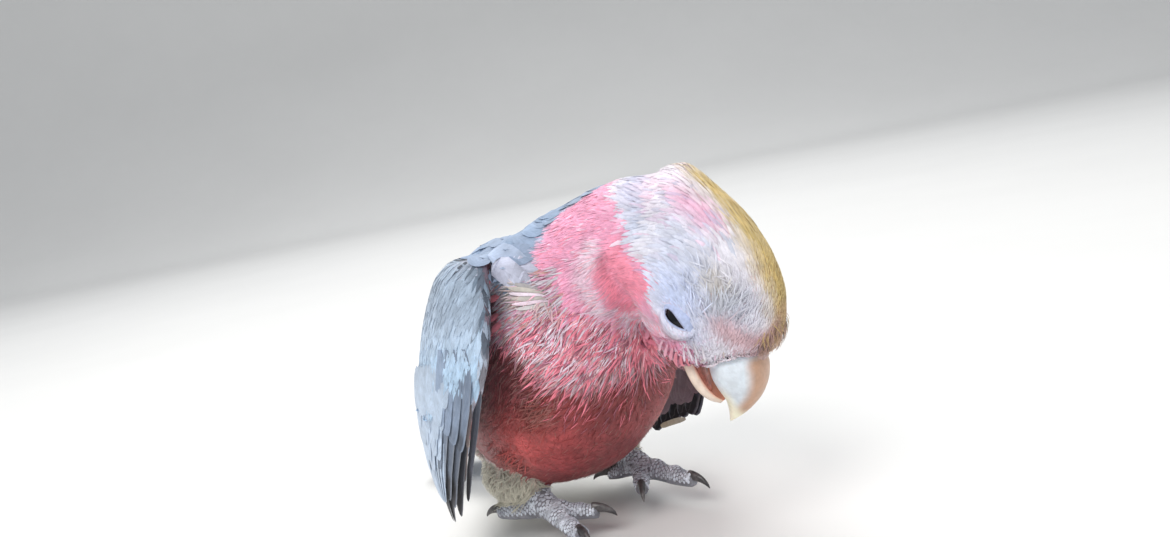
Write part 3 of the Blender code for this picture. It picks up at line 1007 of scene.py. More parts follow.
        # Belly: bare, with a painted highlight, painted shadow beside the wings, and stubs.
        bare = ramp(cls.belly_edge(x) - z, -8.5, 2.5) * (1 - grey) * (1 - skull) * body
        # painted shadow of the wing on the side of the bare belly
        wing_shadow = ramp(out, 22, 28) * ramp(z, 30, 44) * bare
        stubs = cls.spot(points, LINES.flank_stubs, (0.8, 1, 0.6), 2.6)
        stubs = stubs + cls.spot(points, LINES.front_stubs, (0.6, 1, 0.8), 3.0)
        mirrored = LINES.mirrored(points)
        tan = cls.spot(mirrored, LINES.tan, (0.6, 1, 1), 4.0)
        # painted highlight on the bare belly, the same on both sides
        glow = cls.spot(mirrored, LINES.glow, (0.8, 0.75, 1), 10.5)
        # Neck and cheek: rose, deeper in the fold and pale along its lip and the chin.
        rose = (1 - cap) * (1 - grey) * (1 - bare) * body
        fold = LINES.gap_to(LINES.fold, head)
        lip = bell(LINES.gap_to(LINES.lip, head), 2.2)
        chin = bell(LINES.gap_to(LINES.chin_line, head), 2.8)
        cheek = ramp(-hz, 9.5, 11.5) * ramp(hz, -20, -17) * ramp(hy, -4, 0) * ramp(-hy, -17, -11)
        pale = np.clip(np.maximum(lip, chin * 0.85), 0, 1)
        deep = np.clip(np.maximum(bell(fold, 3.0) * 0.9, cheek * 0.6) - pale * 0.8, 0, 1)
        gap = bell(LINES.gap_to(LINES.gap, points), 1.5) * (1 - cap)
        hollow = np.linalg.norm(points - LINES.crop_fold, axis=1)
        # Wing: darker at its bend and along its leading edge, and darker towards its top as painted shade.
        bend = wing * ramp(-y, 8, 13) * ramp(31.5 - out, -1, 2)
        heights, fronts, middles = zip(*LINES.wing_front)
        leading = ramp(np.interp(z, heights, middles) - out, -2.0, -0.4)
        leading *= ramp(np.interp(z, heights, fronts) + 8 - y, 0, 2)
        leading *= wing * (1 - bend)
        # painted shade: the wing's upper part darker, towards the shoulder
        upper_wing_shade = ramp(z, 54, 70)
        # painted shade in the gap between the wing and the breast, in the bare skin's dark red
        wing_gap_shade = wing_root * (1 - skull) * body * ramp(out, 25.5, 27)
        down = np.maximum(under * (1 - grey), thigh) + tan * 0.4 * bare + gap * 0.4 * body
        # of dark: the wing's upper part, the belly's side by the wing and the crop's fold are painted shade
        dark = wing * upper_wing_shade * 0.7 + wing_shadow * 0.3 + bell(hollow, 1.6) * 0.6 + bend * 0.35
        masks = {
            "rose": rose * (1 - 0.8 * pale) * (1 - 0.8 * gap),
            "mantle": np.maximum(grey * (1 - 0.3 * front_shoulder), rump * body),
            "cream": gap * 0.35 * body,
            "bare": np.maximum(bare * (1 - rump) * (1 - under), np.maximum(bend * 0.8, wing_gap_shade * 0.6)),
            "lilac": np.zeros(len(points)),
            "brown": leading * 0.4,
            "down": np.clip(down + stubs * 0.2 * bare, 0, 1),
            "dark": np.clip(dark + leading * 0.7, 0, 1),
            "slate": wing * (1 - bend) * (1 - 0.85 * leading) * (1 - 0.45 * upper_wing_shade),
            "deep": np.clip(deep * rose + bell(hollow - 2.9, 1.0) * body * 0.8, 0, 1),
            "glow": glow * bare * (1 - under),
            "foot": foot,
        }
        for word, share in cls.head_masks(head, streak).items():
            masks[word] = np.clip(masks[word] + share * cap, 0, 1)
        return masks

    @staticmethod
    def spot(points: Array, centre: Place, squeeze: Place, width: float) -> Array:
        """A soft spot round a place, longer along the axes that are squeezed."""
        return bell(np.linalg.norm((points - centre) * squeeze, axis=1), width)

    @classmethod
    def store(cls, mesh: bpy.types.Mesh, masks: dict[str, Array]) -> None:
        """Keeps the masks on a mesh as its pattern attributes."""
        for name, words in PATTERNS.items():
            store_colour(mesh, name, np.stack([masks[word] for word in words], axis=1))


@dataclass
class Skin:
    """One skin for the flesh, sunk beneath the feather tips by the depth of the coat."""

    flesh: tuple[str, ...] = ("trunk", "neck", "head", "crest")
    wings: tuple[str, ...] = ("wing_right", "wing_left")
    thighs: tuple[str, ...] = ("thigh_right", "thigh_left")
    feet: tuple[str, ...] = ("foot_right", "foot_left")
    voxel: float = 0.75
    bridge: float = 0.35  # how far the solids swell to close the cuts between them
    reach: float = 4.0  # how far round a solid's box its skin is looked for
    # Depth of the coat, and how much more the crest and the wing under its long feathers add.
    depth: float = 1.15
    head_depth: float = 1.0
    cheek_depth: float = 0.75
    belly_depth: float = 0.35
    wing_depth: float = 0.6
    thigh_depth: float = 1.2
    crest_extra: float = 0.7
    quill_extra: float = 1.2
    points: Array = field(default_factory=lambda: np.zeros((0, 3)))
    normals: Array = field(default_factory=lambda: np.zeros((0, 3)))
    flow: Array = field(default_factory=lambda: np.zeros((0, 3)))
    parts: Array = field(default_factory=lambda: np.zeros(0))
    unwrap: Array = field(default_factory=lambda: np.zeros((0, 2)))
    tree: KDTree = field(init=False)

    def build(self) -> bpy.types.Object:
        """Makes the skin, its markings and the tables that the coat grows from."""
        skin = self.united()
        places = vertex_places(skin.data)
        self.parts = self.nearest_part(places)
        places -= vertex_normals(skin.data) * (self.coat_depth(places) + self.bridge)[:, None]
        place_vertices(skin.data, places)
        smoothed(skin, 2)
        places = self.folded(vertex_places(skin.data), vertex_normals(skin.data))
        places[:, 2] = np.maximum(places[:, 2], 0.02)
        place_vertices(skin.data, places)
        skin.data.shade_smooth()
        self.points, self.normals = vertex_places(skin.data), vertex_normals(skin.data)
        self.flow = self.lie(self.points, self.normals)
        Markings.store(skin.data, Markings.masks(self.points, self.parts))
        self.unwrap = self.unwrapped(skin)
        self.tree = KDTree(len(self.points))
        for i, point in enumerate(self.points):
            self.tree.insert(point, i)
        self.tree.balance()
        SkinFinish().put_on(skin)
        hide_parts(*self.flesh, *self.wings, *self.thighs, *self.feet)
        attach(skin, "root")
        return skin

    def united(self) -> bpy.types.Object:
        """The swollen solids and the eyes as one closed surface."""
        bm = bmesh.new()
        for name in (*self.flesh, *self.wings, *self.thighs, *self.feet, "eye_right", "eye_left"):
            part = bmesh.new()
            part.from_mesh(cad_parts[name].data)
            bmesh.ops.remove_doubles(part, verts=part.verts, dist=1e-6)
            part.normal_update()
            swell = 0.0 if name.startswith("eye") else self.bridge * MM
            moved = [vert.co + vert.normal * swell for vert in part.verts]
            for vert, place in zip(part.verts, moved):
                vert.co = place
            mesh = bpy.data.meshes.new("part")
            part.to_mesh(mesh)
            part.free()
            bm.from_mesh(mesh)
            bpy.data.meshes.remove(mesh)
        mesh = bpy.data.meshes.new("skin")
        bm.to_mesh(mesh)
        bm.free()
        skin = new_object("skin", mesh)
        remesh = skin.modifiers.new("voxels", "REMESH")
        remesh.mode = "VOXEL"
        remesh.voxel_size = self.voxel * MM
        return smoothed(applied(skin), 5)

    def nearest_part(self, places: Array) -> Array:
        """The part that each place is nearest to, as a Part's value."""
        groups = {Part.BODY: self.flesh, Part.WING: self.wings, Part.THIGH: self.thighs, Part.FOOT: self.feet}
        world = places * MM + OFFSET
        best, found = np.full(len(places), 1e9), np.zeros(len(places), int)
        for part, names in groups.items():
            for name in names:
                tree = cad_surface(name)
                low, high = (np.array(corner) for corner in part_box(name))
                near = np.all((world > low - self.reach * MM) & (world < high + self.reach * MM), axis=1)
                for i in np.nonzero(near)[0]:
                    distance = tree.find_nearest(world[i])[3]
                    if distance < best[i]:
                        best[i] = distance
                        found[i] = part.value
        return found

    def coat_depth(self, places: Array) -> Array:
        """How far the skin lies beneath the feather tips."""
        head = BIRD.to_head(places)
        x, y, z = places.T
        depth = np.full(len(places), self.depth)
        on_head = ramp(LINES.skull_gap(head), 36, 27)
        depth += (self.head_depth - depth) * on_head
        cheek = ramp(-head[:, 2], 9, 13) * ramp(z, 46, 52) * ramp(-y, 18, 26)
        depth += (self.cheek_depth - depth) * cheek
        crest = ramp(head[:, 1], 4, 22) * ramp(head[:, 2], -3, 3) * ramp(-np.abs(head[:, 0]), -12, -6)
        depth += crest * on_head * self.crest_extra
        belly = ramp(Markings.belly_edge(x) - z, -4, 4) * ramp(-y, -18, -6)
        depth += (self.belly_depth - depth) * belly
        for part, value in ((Part.WING, self.wing_depth), (Part.THIGH, self.thigh_depth), (Part.FOOT, 0.0)):
            depth[self.parts == part.value] = value
        quill_top = 31.5 + 12.5 * ramp(-y, -1, 5)  # Z where the long feathers take over from the coverts
        return depth + self.quill_extra * ramp(quill_top - z, 0, 5) * (self.parts == Part.WING.value)

    @staticmethod
    def folded(places: Array, normals: Array) -> Array:
        """The skin with its eye pits and the fold on each side of the neck."""
        head = BIRD.to_head(places)
        sink = np.zeros(len(places))
        for side in Side:  # eye pits
            distance = np.linalg.norm(head - BIRD.eye(side), axis=1)
            sink = np.maximum(sink, ramp(distance, 6.4, 4.6) * 0.5)
        fold = LINES.gap_to(LINES.fold, head)
        chin = LINES.gap_to(LINES.chin_line, head)
        sink += bell(fold, 2.1) * 1.9 - bell(LINES.gap_to(LINES.lip, head), 1.9) * 0.8
        sink -= bell(chin, 1.2) * 0.5 - bell(chin - 2.4, 0.9) * 0.35
        for side in Side:  # a swelling round each lid, with a crease over it
            eye = Eye(side)
            front, up, outward = eye.local(head)
            reach = np.hypot(front / 1.2, up - eye.lift - 0.9)
            sink -= bell(reach, 3.9) * (outward > -1) * 0.7
            sink += bell(reach - 6.0, 0.6) * ramp(up, 0.5, 3) * (outward > -3) * 0.3
        ahead = LINES.before_face(head)
        at_bill = ramp(-head[:, 2], -1.5, 1.5) * ramp(head[:, 2], -18, -14) * ramp(-head[:, 1], 15, 18)
        sink += at_bill * ramp(ahead, -1.2, 0.4) * ramp(np.abs(head[:, 0]), 4, 6) * 1.4
        hollow = np.linalg.norm(places - LINES.crop_fold, axis=1)
        sink += bell(hollow, 1.5) * 1.6 - bell(hollow - 2.6, 0.8) * 0.9
        belly = ramp(places[:, 2], 46, 34) * ramp(-places[:, 1], -6, 4)
        sink += noise(places * (1, 1, 0.7), 6.5, 8) * 0.3 * belly
        places = places - normals * sink[:, None]
        head = BIRD.to_head(places)
        head[:, 1] += np.clip(LINES.before_face(head), 0, None) * at_bill  # drawn back from the bill
        for side in Side:  # kept over the eyeball, and under it within the lids
            eye = Eye(side)
            local = head - BIRD.eye(side)
            front, up, outward = eye.local(head)
            margin = eye.margin(front, up)
            level = eye.radius + 0.6 - 1.3 * ramp(margin, 0.95, 0.7)
            gap = np.linalg.norm(local, axis=1)
            over = np.where(margin < 0.8, level, soft_max(gap, level, 3))
            local = local * (over / np.maximum(gap, 1e-3))[:, None]
            head = np.where(((outward > 0) & (gap < 8))[:, None], local + BIRD.eye(side), head)
        return BIRD.from_head(head)

    def lie(self, places: Array, normals: Array) -> Array:
        """The way the coat lies at each place, along the surface."""
        line = LINES.spine_points()
        tangents = unit(np.gradient(line, axis=0))
        gap = np.linalg.norm(places[:, None] - line[None], axis=2)
        weight = 1 / np.maximum(gap, 1) ** 5
        way = unit(weight @ tangents)
        # Towards its tip on a wing, down on a thigh, down and away from the parting on the breast.
        side = np.sign(places[:, :1])
        wing = np.hstack([side * LINES.wing_tip[0], *(np.full_like(side, value) for value in LINES.wing_tip[1:])])
        on_wing = (self.parts == Part.WING.value)[:, None]
        way = np.where(on_wing, unit(wing - places), way)
        low = (self.parts == Part.THIGH.value)[:, None]
        way = np.where(low, unit(way + (0, 0, -0.8)), way)
        on_body = self.parts == Part.BODY.value
        front = ramp(-places[:, 1], -8, 8) * on_body * ramp(64 - places[:, 2], 0, 10)
        front *= ramp(-BIRD.to_head(places)[:, 2], 20, 25)
        lean = np.tanh((places[:, :1] - LINES.parting) / 5)
        down = unit(np.hstack([lean * 0.8, np.full_like(side, 0.3), np.full_like(side, -0.62)]))
        way = unit(way * (1 - front[:, None]) + down * front[:, None])
        return unit(way - normals * dot(way, normals))

    @staticmethod
    def unwrapped(skin: bpy.types.Object) -> Array:
        """A place on an unwrap of the skin for each of its vertices."""
        bpy.context.view_layer.objects.active = skin
        skin.select_set(True)
        bpy.ops.object.mode_set(mode="EDIT")
        bpy.ops.mesh.select_all(action="SELECT")
        bpy.ops.uv.smart_project(angle_limit=math.radians(66), island_margin=0.004)
        bpy.ops.object.mode_set(mode="OBJECT")
        skin.select_set(False)
        mesh = skin.data
        layer = mesh.uv_layers.active
        layer.name = "OFBake"
        found = np.zeros((len(mesh.vertices), 2))
        found[read_numbers(mesh.loops, "vertex_index", 1, np.int32)[:, 0]] = read_numbers(layer.data, "uv", 2)
        return found

    def nearest(self, places: Array) -> Array:
        """Number of the skin's vertex nearest to each place."""
        return np.fromiter((self.tree.find(place)[1] for place in places), int, len(places))

    def under(self, places: Array, around: int = 4) -> tuple[Array, Array, Array]:
        """The skin under each place.

        Args:
            places: Places near the skin, in the bird's frame.
            around: How many vertices each answer is blended from.

        Returns:
            The places moved onto the skin, the skin's normals there and the lie of the coat.
        """
        found = [[(item[1], item[2]) for item in self.tree.find_n(place, around)] for place in places]
        table = np.array(found).reshape(len(places), around, 2)
        numbers = table[..., 0].astype(int)
        weight = 1 / (table[..., 1:] + 0.12) ** 2
        weight /= weight.sum(axis=1, keepdims=True)
        normal = unit((self.normals[numbers] * weight).sum(axis=1))
        point = (self.points[numbers] * weight).sum(axis=1)
        way = (self.flow[numbers] * weight).sum(axis=1)
        way = unit(way - normal * dot(way, normal))
        return places - normal * dot(places - point, normal), normal, way


# ---------------------------------------------------------------------------------------------------------
# Feathers
# ---------------------------------------------------------------------------------------------------------


@dataclass(frozen=True)
class Vane:
    """Outline and section of a kind of feather: (share of length, share of width) and (across, height)."""

    outline: Line
    section: Line = ((-1, 0), (0, 1), (1, 0))

    def faces(self) -> tuple[Array, Array]:
        """Corners and sizes of the faces of one closed vane, whose last vertex is its tip."""
        wide, rows = len(self.section), len(self.outline) - 1
        tip = wide * rows
        found = [tuple(range(wide))]
        for row in range(rows - 1):
            here, ahead = row * wide, (row + 1) * wide
            for k in range(wide):
                other = (k + 1) % wide
                found.append((here + k, ahead + k, ahead + other, here + other))
        last = (rows - 1) * wide
        for k in range(wide):
            found.append((last + k, tip, last + (k + 1) % wide))
        return np.array([corner for face in found for corner in face]), np.array([len(face) for face in found])


TUFT = Vane(((0, 0.5), (0.3, 1.0), (0.62, 0.8), (0.86, 0.42), (1, 0)))
STRAND = Vane(((0, 1.0), (0.5, 0.75), (1, 0)))
WISP = Vane(((0, 0.6), (0.3, 1.0), (0.68, 0.62), (1, 0)))
BLUNT = Vane(((0, 0.5), (0.3, 0.9), (0.64, 1.0), (0.88, 0.66), (1, 0)))
ROUNDED = Vane(
    ((0, 0.4), (0.25, 0.75), (0.5, 0.98), (0.72, 1.0), (0.88, 0.74), (0.97, 0.36), (1, 0)),
    ((-1, 0), (-0.5, 0.75), (0, 1), (0.5, 0.75), (1, 0)),
)
LONG = Vane(
    (
        *((0, 0.3), (0.12, 0.7), (0.3, 0.95), (0.5, 1.0), (0.75, 1.0)),
        *((0.89, 0.95), (0.958, 0.78), (0.99, 0.46), (1, 0)),
    ),
    ((-1, 0), (-0.5, 0.7), (-0.08, 0.9), (0, 1.5), (0.08, 0.9), (0.5, 0.7), (1, 0)),
)
BAKE_PATCH = 0.003  # width of a feather's patch on the unwrap
LEAST_FACING = 0.3  # least cosine between a vane's shading normal and its face
FEATHER_CLEARANCE = 0.3  # least height of the small feathers over the floor


@dataclass
class Growth:
    """Feathers to be made: the course of each over the bird and what they share."""

    vane: Vane
    course: Array  # feather by station by XYZ
    normals: Array  # the same, outward directions
    width: Array
    thickness: float
    masks: dict[str, Array]
    unwrap: Array
    rng: np.random.Generator
    ragged: float = 0.0
    fullness: float = 0.3  # how far the shading turns from the skin's facing towards a vane's edges

    def piece(self, name: str, finish: Finish, slot: str, *nodes: str) -> bpy.types.Object:
        """The feathers as a finished piece of the bird, which stands for these CAD nodes."""
        return finished(joined(name, [self.mesh(name)], finish), slot, *nodes)

    def mesh(self, name: str) -> bpy.types.Mesh:
        """The feathers as one mesh with its vane, pattern and bake attributes."""
        outline = np.array(self.vane.outline)
        across = np.array(self.vane.section)
        count, rows = len(self.course), len(outline) - 1
        wide = len(across)
        # Shape: the section at each station but the last, which is the tip.
        ahead = unit(np.gradient(self.course, axis=1))
        side = unit(np.cross(self.normals, ahead))
        half = self.width[:, None] / 2 * outline[None, :, 1]
        chance = 1 + self.rng.uniform(-self.ragged, self.ragged, (count, rows + 1, wide))
        reach = half[:, :, None] * across[None, None, :, 0] * chance
        thick = np.minimum(outline[None, :, None, 1] * 1.5, 1)  # thinner where the vane is narrow
        rise = self.thickness * across[None, None, :, 1] * thick
        out = self.normals[:, :, None]
        body = self.course[:, :, None] + side[:, :, None] * reach[..., None] + out * rise[..., None]
        points = np.concatenate([body[:, :rows].reshape(count, -1, 3), self.course[:, -1:]], axis=1)
        corners, sizes = self.vane.faces()
        per = rows * wide + 1
        all_corners = (corners[None] + (np.arange(count) * per)[:, None]).ravel()
        mesh = mesh_from_arrays(name, points.reshape(-1, 3), all_corners, np.tile(sizes, count))
        # Place on the vane, (along, across) and a random number, with the markings of the root.
        local = np.zeros((per, 2))
        local[:-1, 0] = np.repeat(outline[:rows, 0], wide)
        local[:-1, 1] = np.tile(across[:, 0], rows)
        local[-1] = (1, 0)
        vane = np.zeros((count, per, 3))
        vane[:, :, :2] = local[None]
        vane[:, :, 2] = self.rng.random(count)[:, None]
        store_vector(mesh, "vane", vane.reshape(-1, 3))
        Markings.store(mesh, {word: np.repeat(values, per) for word, values in self.masks.items()})
        # A patch of the unwrap round the root's place.
        patch = self.unwrap[:, None] + (local[None, :, ::-1] * (0.5, 1) - (0, 0.5)) * BAKE_PATCH
        flat = np.clip(patch, 0, 1).reshape(-1, 2)[all_corners]
        layer = mesh.uv_layers.new(name="OFBake")
        layer.data.foreach_set("uv", flat.astype(np.float32).ravel())
        # Shading: as the skin faces, turned a little towards the margins.
        facing = out + side[:, :, None] * across[None, None, :, :1] * self.fullness
        facing = np.concatenate([facing[:, :rows].reshape(count, -1, 3), self.normals[:, -1:]], axis=1)
        facing = unit(facing).reshape(-1, 3)[all_corners]
        plane = np.repeat(read_numbers(mesh.polygons, "normal"), np.tile(sizes, count), axis=0)
        facing = unit(facing + plane * np.clip(LEAST_FACING - dot(facing, plane), 0, None))
        mesh.normals_split_custom_set(facing.tolist())
        return mesh


def joined(name: str, meshes: list[bpy.types.Mesh], finish: Finish) -> bpy.types.Object:
    """Meshes as one object with one finish."""
    objects = [new_object(name, mesh) for mesh in meshes]
    for obj in objects:
        finish.put_on(obj)
    if len(objects) > 1:
        with bpy.context.temp_override(active_object=objects[0], selected_editable_objects=objects):
            bpy.ops.object.join()
    objects[0].name = name
    return objects[0]


def finished(obj: bpy.types.Object, slot: str, *nodes: str) -> bpy.types.Object:
    """obj as a piece of the bird.

    Args:
        obj: The piece, already dressed.
        slot: A material slot's name; not used.
        nodes: CAD nodes that it stands for.

    Returns:
        The same object.
    """
    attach(obj, "root")
    if nodes:
        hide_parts(*nodes)
    triangles = sum(len(face.vertices) - 2 for face in obj.data.polygons)
    LOG.info("%s: %d triangles", obj.name, triangles)
    return obj


@dataclass(frozen=True)
class Tract:
    """A field of feathers of one kind."""

    name: str
    where: Callable[["Coat"], Array]  # chance from 0 to 1 at each vertex of the skin
    vane: Vane
    spacing: float
    length: float
    width: float
    tip_height: float
    thickness: float = 0.08
    root_height: float = -0.15
    variation: float = 0.25
    lock: float = 0.22  # how far, in radians, neighbours swing together
    lock_size: float = 5.0
    swing: float = 0.08  # how far each strays alone
    ragged: float = 0.15
    fullness: float = 0.3
    backwards: bool = False
    dress: tuple[tuple[str, float], ...] = ()  # least amounts of colours
    # Colour, the amount of it and the portion of the feathers that take it.
    variety: tuple[tuple[str, float, float], ...] = ()


class Coat:
    """Grows feathers from the skin."""

    near_lid: float = 0.88  # feathers that reach nearer to the middle of a lid are shortened
    on_lid: float = 0.8  # and are left out where they still reach this near
    shorter: float = 0.6  # share of its length that such a feather keeps each time

    def __init__(self, skin: Skin, seed: int = 5) -> None:
        """Prepares the tables that the tracts ask for."""
        self.skin = skin
        self.rng = np.random.default_rng(seed)
        self.head = BIRD.to_head(skin.points)
        self.masks = Markings.masks(skin.points, skin.parts)
        self.body = skin.parts == Part.BODY.value
        self.lid_gap = self.lid_distance(skin.points)
        self.bill_gap = self.bill_distance()

    @staticmethod
    def lid_distance(places: Array) -> Array:
        """How far places are from the middle of the nearer lid, where 1 is the lid's edge."""
        head = BIRD.to_head(places)
        found = np.full(len(places), 9.0)
        for side in Side:
            eye = Eye(side)
            front, up, outward = eye.local(head)
            found = np.where(outward > -1, np.minimum(found, eye.margin(front, up)), found)
        return found

    @classmethod
    def lid_reach(cls, course: Array) -> Array:
        """The same for each feather, at the nearest of its stations after the root."""
        return np.min(cls.lid_distance(course[:, 1:].reshape(-1, 3)).reshape(len(course), -1), axis=1)

    def bill_distance(self) -> Array:
        """Distance of each vertex of the skin from the solids of the bill and cere."""
        found = np.full(len(self.skin.points), 99.0)
        world = self.skin.points * MM + OFFSET
        near = np.nonzero(np.linalg.norm(self.head - LINES.bill, axis=1) < LINES.bill_reach)[0]
        for name in ("bill_upper", "bill_lower", "cere"):
            tree = cad_surface(name)
            for i in near:
                found[i] = min(found[i], tree.find_nearest(world[i])[3] / MM)
        return found

    def roots(self, tract: Tract) -> Array:
        """Vertices' numbers and places for the tract's feathers, well spread."""
        chance = tract.where(self)
        copies = max(1, round(2.2 * (self.skin.voxel / tract.spacing) ** 2))  # tries at each vertex
        numbers = np.tile(np.nonzero(chance > 0.02)[0], copies)
        numbers = numbers[self.rng.random(len(numbers)) < chance[numbers]]
        self.rng.shuffle(numbers)
        places = self.skin.points[numbers] + self.rng.uniform(-0.5, 0.5, (len(numbers), 3)) * self.skin.voxel
        kept = self.thinned(places, tract.spacing)
        return numbers[kept], places[kept]

    @staticmethod
    def thinned(places: Array, spacing: float) -> Array:
        """Numbers of places of which no two are nearer than the spacing."""
        cells: dict[tuple[int, int, int], list[tuple[float, float, float]]] = {}
        kept = []
        near = [(i, j, k) for i in (-1, 0, 1) for j in (-1, 0, 1) for k in (-1, 0, 1)]
        limit = spacing * spacing
        rows = places.tolist()
        for number, (cell, (x, y, z)) in enumerate(zip(np.floor(places / spacing).astype(int).tolist(), rows)):
            a, b, c = cell
            clear = True
            for i, j, k in near:
                for px, py, pz in cells.get((a + i, b + j, c + k), ()):
                    if (px - x) ** 2 + (py - y) ** 2 + (pz - z) ** 2 < limit:
                        clear = False
                        break
                if not clear:
                    break
            if clear:
                cells.setdefault((a, b, c), []).append((x, y, z))
                kept.append(number)
        return np.array(kept, int)

    def march(self, tract: Tract, places: Array, length: Array, swing: Array) -> tuple[Array, Array]:
        """Courses of feathers along the skin.

        Args:
            tract: What they are.
            places: Their roots.
            length: Their lengths.
            swing: How far each turns from the lie of the coat, in radians.

        Returns:
            Places and outward directions, as feather by station by XYZ.
        """
        stations = [share for share, _ in tract.vane.outline]
        course, normals = np.zeros((2, len(places), len(stations), 3))
        place, normal, way = self.skin.under(places)
        for row, share in enumerate(stations):
            if row:
                turn = swing[:, None]
                step = way * (-1.0 if tract.backwards else 1.0)
                step = step * np.cos(turn) + np.cross(normal, step) * np.sin(turn)
                place = place + step * (share - stations[row - 1]) * length[:, None]
                place, normal, way = self.skin.under(place)
            height = tract.root_height + (tract.tip_height - tract.root_height) * share**0.8
            course[:, row] = place + normal * height
            course[:, row, 2] = np.maximum(course[:, row, 2], FEATHER_CLEARANCE)
            normals[:, row] = normal
        return course, normals

    def grow(self, tract: Tract) -> bpy.types.Mesh:
        """The tract's feathers, each laid along the skin from its root and kept off the lids."""
        numbers, places = self.roots(tract)
        count = len(numbers)
        rng = self.rng
        length = tract.length * (1 + rng.uniform(-tract.variation, tract.variation, count))
        swing = noise(places, tract.lock_size, 11) * tract.lock * 1.6 + rng.normal(0, tract.swing, count)
        course, normals = self.march(tract, places, length, swing)
        for _ in range(3):  # shorter, where they reach over the lids
            inside = self.lid_reach(course) < self.near_lid
            if not inside.any():
                break
            length = np.where(inside, length * self.shorter, length)
            course[inside], normals[inside] = self.march(tract, places[inside], length[inside], swing[inside])
        keep = self.lid_reach(course) >= self.on_lid
        course, normals, numbers = course[keep], normals[keep], numbers[keep]
        count = len(numbers)
        masks = {word: values[numbers] for word, values in self.masks.items()}
        chance = np.clip(rng.random(count) * 0.7 + (noise(places[keep], 1.8, 12) + 1) * 0.15, 0, 1)
        for word, amount in tract.dress:
            masks[word] = np.maximum(masks[word], amount)
        low = 0.0
        for word, amount, portion in tract.variety:
            chosen = (chance >= low) & (chance < low + portion)
            masks[word] = np.where(chosen, amount, masks[word])
            low += portion
        growth = Growth(
            vane=tract.vane,
            course=course,
            normals=normals,
            width=tract.width * (1 + rng.uniform(-tract.variation, tract.variation, count)),
            thickness=tract.thickness,
            masks=masks,
            unwrap=self.skin.unwrap[numbers],
            rng=rng,
            ragged=tract.ragged,
            fullness=tract.fullness,
        )
        LOG.info("%s: %d feathers", tract.name, count)
        return growth.mesh(tract.name)


def on_face(coat: Coat) -> Array:
    """Round the eyes and the bill."""
    y, z = coat.head[:, 1], coat.head[:, 2]
    open_skin = (coat.lid_gap > 0.82) & (coat.bill_gap > 0.3)
    free = (LINES.before_face(coat.head) < -0.3) | (z > -1)
    return ramp(-y, -2, 4) * ramp(z, -24, -20) * coat.body * open_skin * free * (np.abs(coat.head[:, 0]) < 20)


def on_fringe(coat: Coat) -> Array:
    """A narrow band round the root of the bill."""
    near = ramp(coat.bill_gap, 3.2, 1.6) * (coat.bill_gap > 0.35)
    ahead = LINES.before_face(coat.head)
    near = np.maximum(near, bell(ahead + 1.6, 0.9) * (coat.bill_gap > 0.2))
    near = near * ((ahead < -0.9) | (coat.head[:, 2] > -1))
    return near * ramp(-coat.head[:, 1], 9, 12) * coat.body * (coat.head[:, 2] > -15)


def on_chin(coat: Coat) -> Array:
    """The chin and the lower edge of the cheek."""
    _, y, z = coat.head.T
    near_bill = ramp(-y, 9, 12) * ramp(-z, 10, 13) * ramp(coat.bill_gap, 5, 2.5)
    edge = bell(LINES.gap_to(LINES.chin_line, coat.head), 3.2) * ramp(-z, 12, 15)
    return np.maximum(near_bill, edge * 0.7) * coat.body * (coat.bill_gap > 0.3)


def on_gape(coat: Coat) -> Array:
    """The corner of the mouth, with its pale curls."""
    corner = bell(np.linalg.norm(coat.head * (0, 1, 1) - LINES.mouth, axis=1), 2.6)
    return corner * coat.body * (coat.bill_gap > 0.2) * (np.abs(coat.head[:, 0]) > 5)


def on_locks(coat: Coat) -> Array:
    """Sides of the cap, where longer feathers lie in locks."""
    x, y, z = coat.head.T
    return ramp(y, -3, 3) * ramp(z, -11, -8) * coat.body * ramp(np.abs(x), 5, 8)


def on_bristles(coat: Coat) -> Array:
    """The dark tuft over the bill."""
    return bell(LINES.gap_to(LINES.bristles, coat.head), 1.7) * coat.body


def on_crown(coat: Coat) -> Array:
    """The pale cap behind the face."""
    y, z = coat.head[:, 1], coat.head[:, 2]
    return ramp(y, -6, 0) * ramp(z, -15, -12) * coat.body * (coat.lid_gap > 0.86)


def on_crest(coat: Coat) -> Array:
    """The long feathers along the crown."""
    x, y, z = coat.head.T
    return ramp(y, -2, 8) * ramp(z, 3, 7) * ramp(-np.abs(x), -9, -6) * coat.body


def on_neck(coat: Coat) -> Array:
    """Throat, cheeks and neck."""
    x, _, z = coat.skin.points.T
    upper = ramp(z - Markings.breast_top(x), -5, 1)
    near = (coat.bill_gap > 0.3) & (coat.lid_gap > 0.86)
    return ramp(-coat.head[:, 2], 8.5, 10.5) * coat.masks["rose"] * upper * near


def on_breast(coat: Coat) -> Array:
    """The rose breast with its growing feathers."""
    x, _, z = coat.skin.points.T
    open_fold = np.linalg.norm(coat.skin.points - LINES.crop_fold, axis=1) > 2.2
    share = np.clip(coat.masks["rose"] * 2.0, 0, 1)
    return share * ramp(Markings.breast_top(x) - z, -1.5, 2.5) * (coat.head[:, 2] < -22) * open_fold


def on_breast_edge(coat: Coat) -> Array:
    """The breast and a thinning strip of the belly under it."""
    x, y, z = coat.skin.points.T
    below = ramp(z - Markings.belly_edge(x), -13, 6) * ramp(Markings.breast_top(x) - z, -1, 2)
    return below * ramp(-y, -2, 6) * coat.body * (coat.head[:, 2] < -22) * 0.8


def on_back(coat: Coat) -> Array:
    """Mantle, shoulder pads, back and rump."""
    return ramp(coat.masks["mantle"], 0.3, 0.7) * coat.body * (coat.head[:, 2] < -16)


def on_back_edge(coat: Coat) -> Array:
    """The same with the narrow border to the rose neck."""
    return np.clip(coat.masks["mantle"] * 2.0, 0, 1) * coat.body * (coat.head[:, 2] < -16)


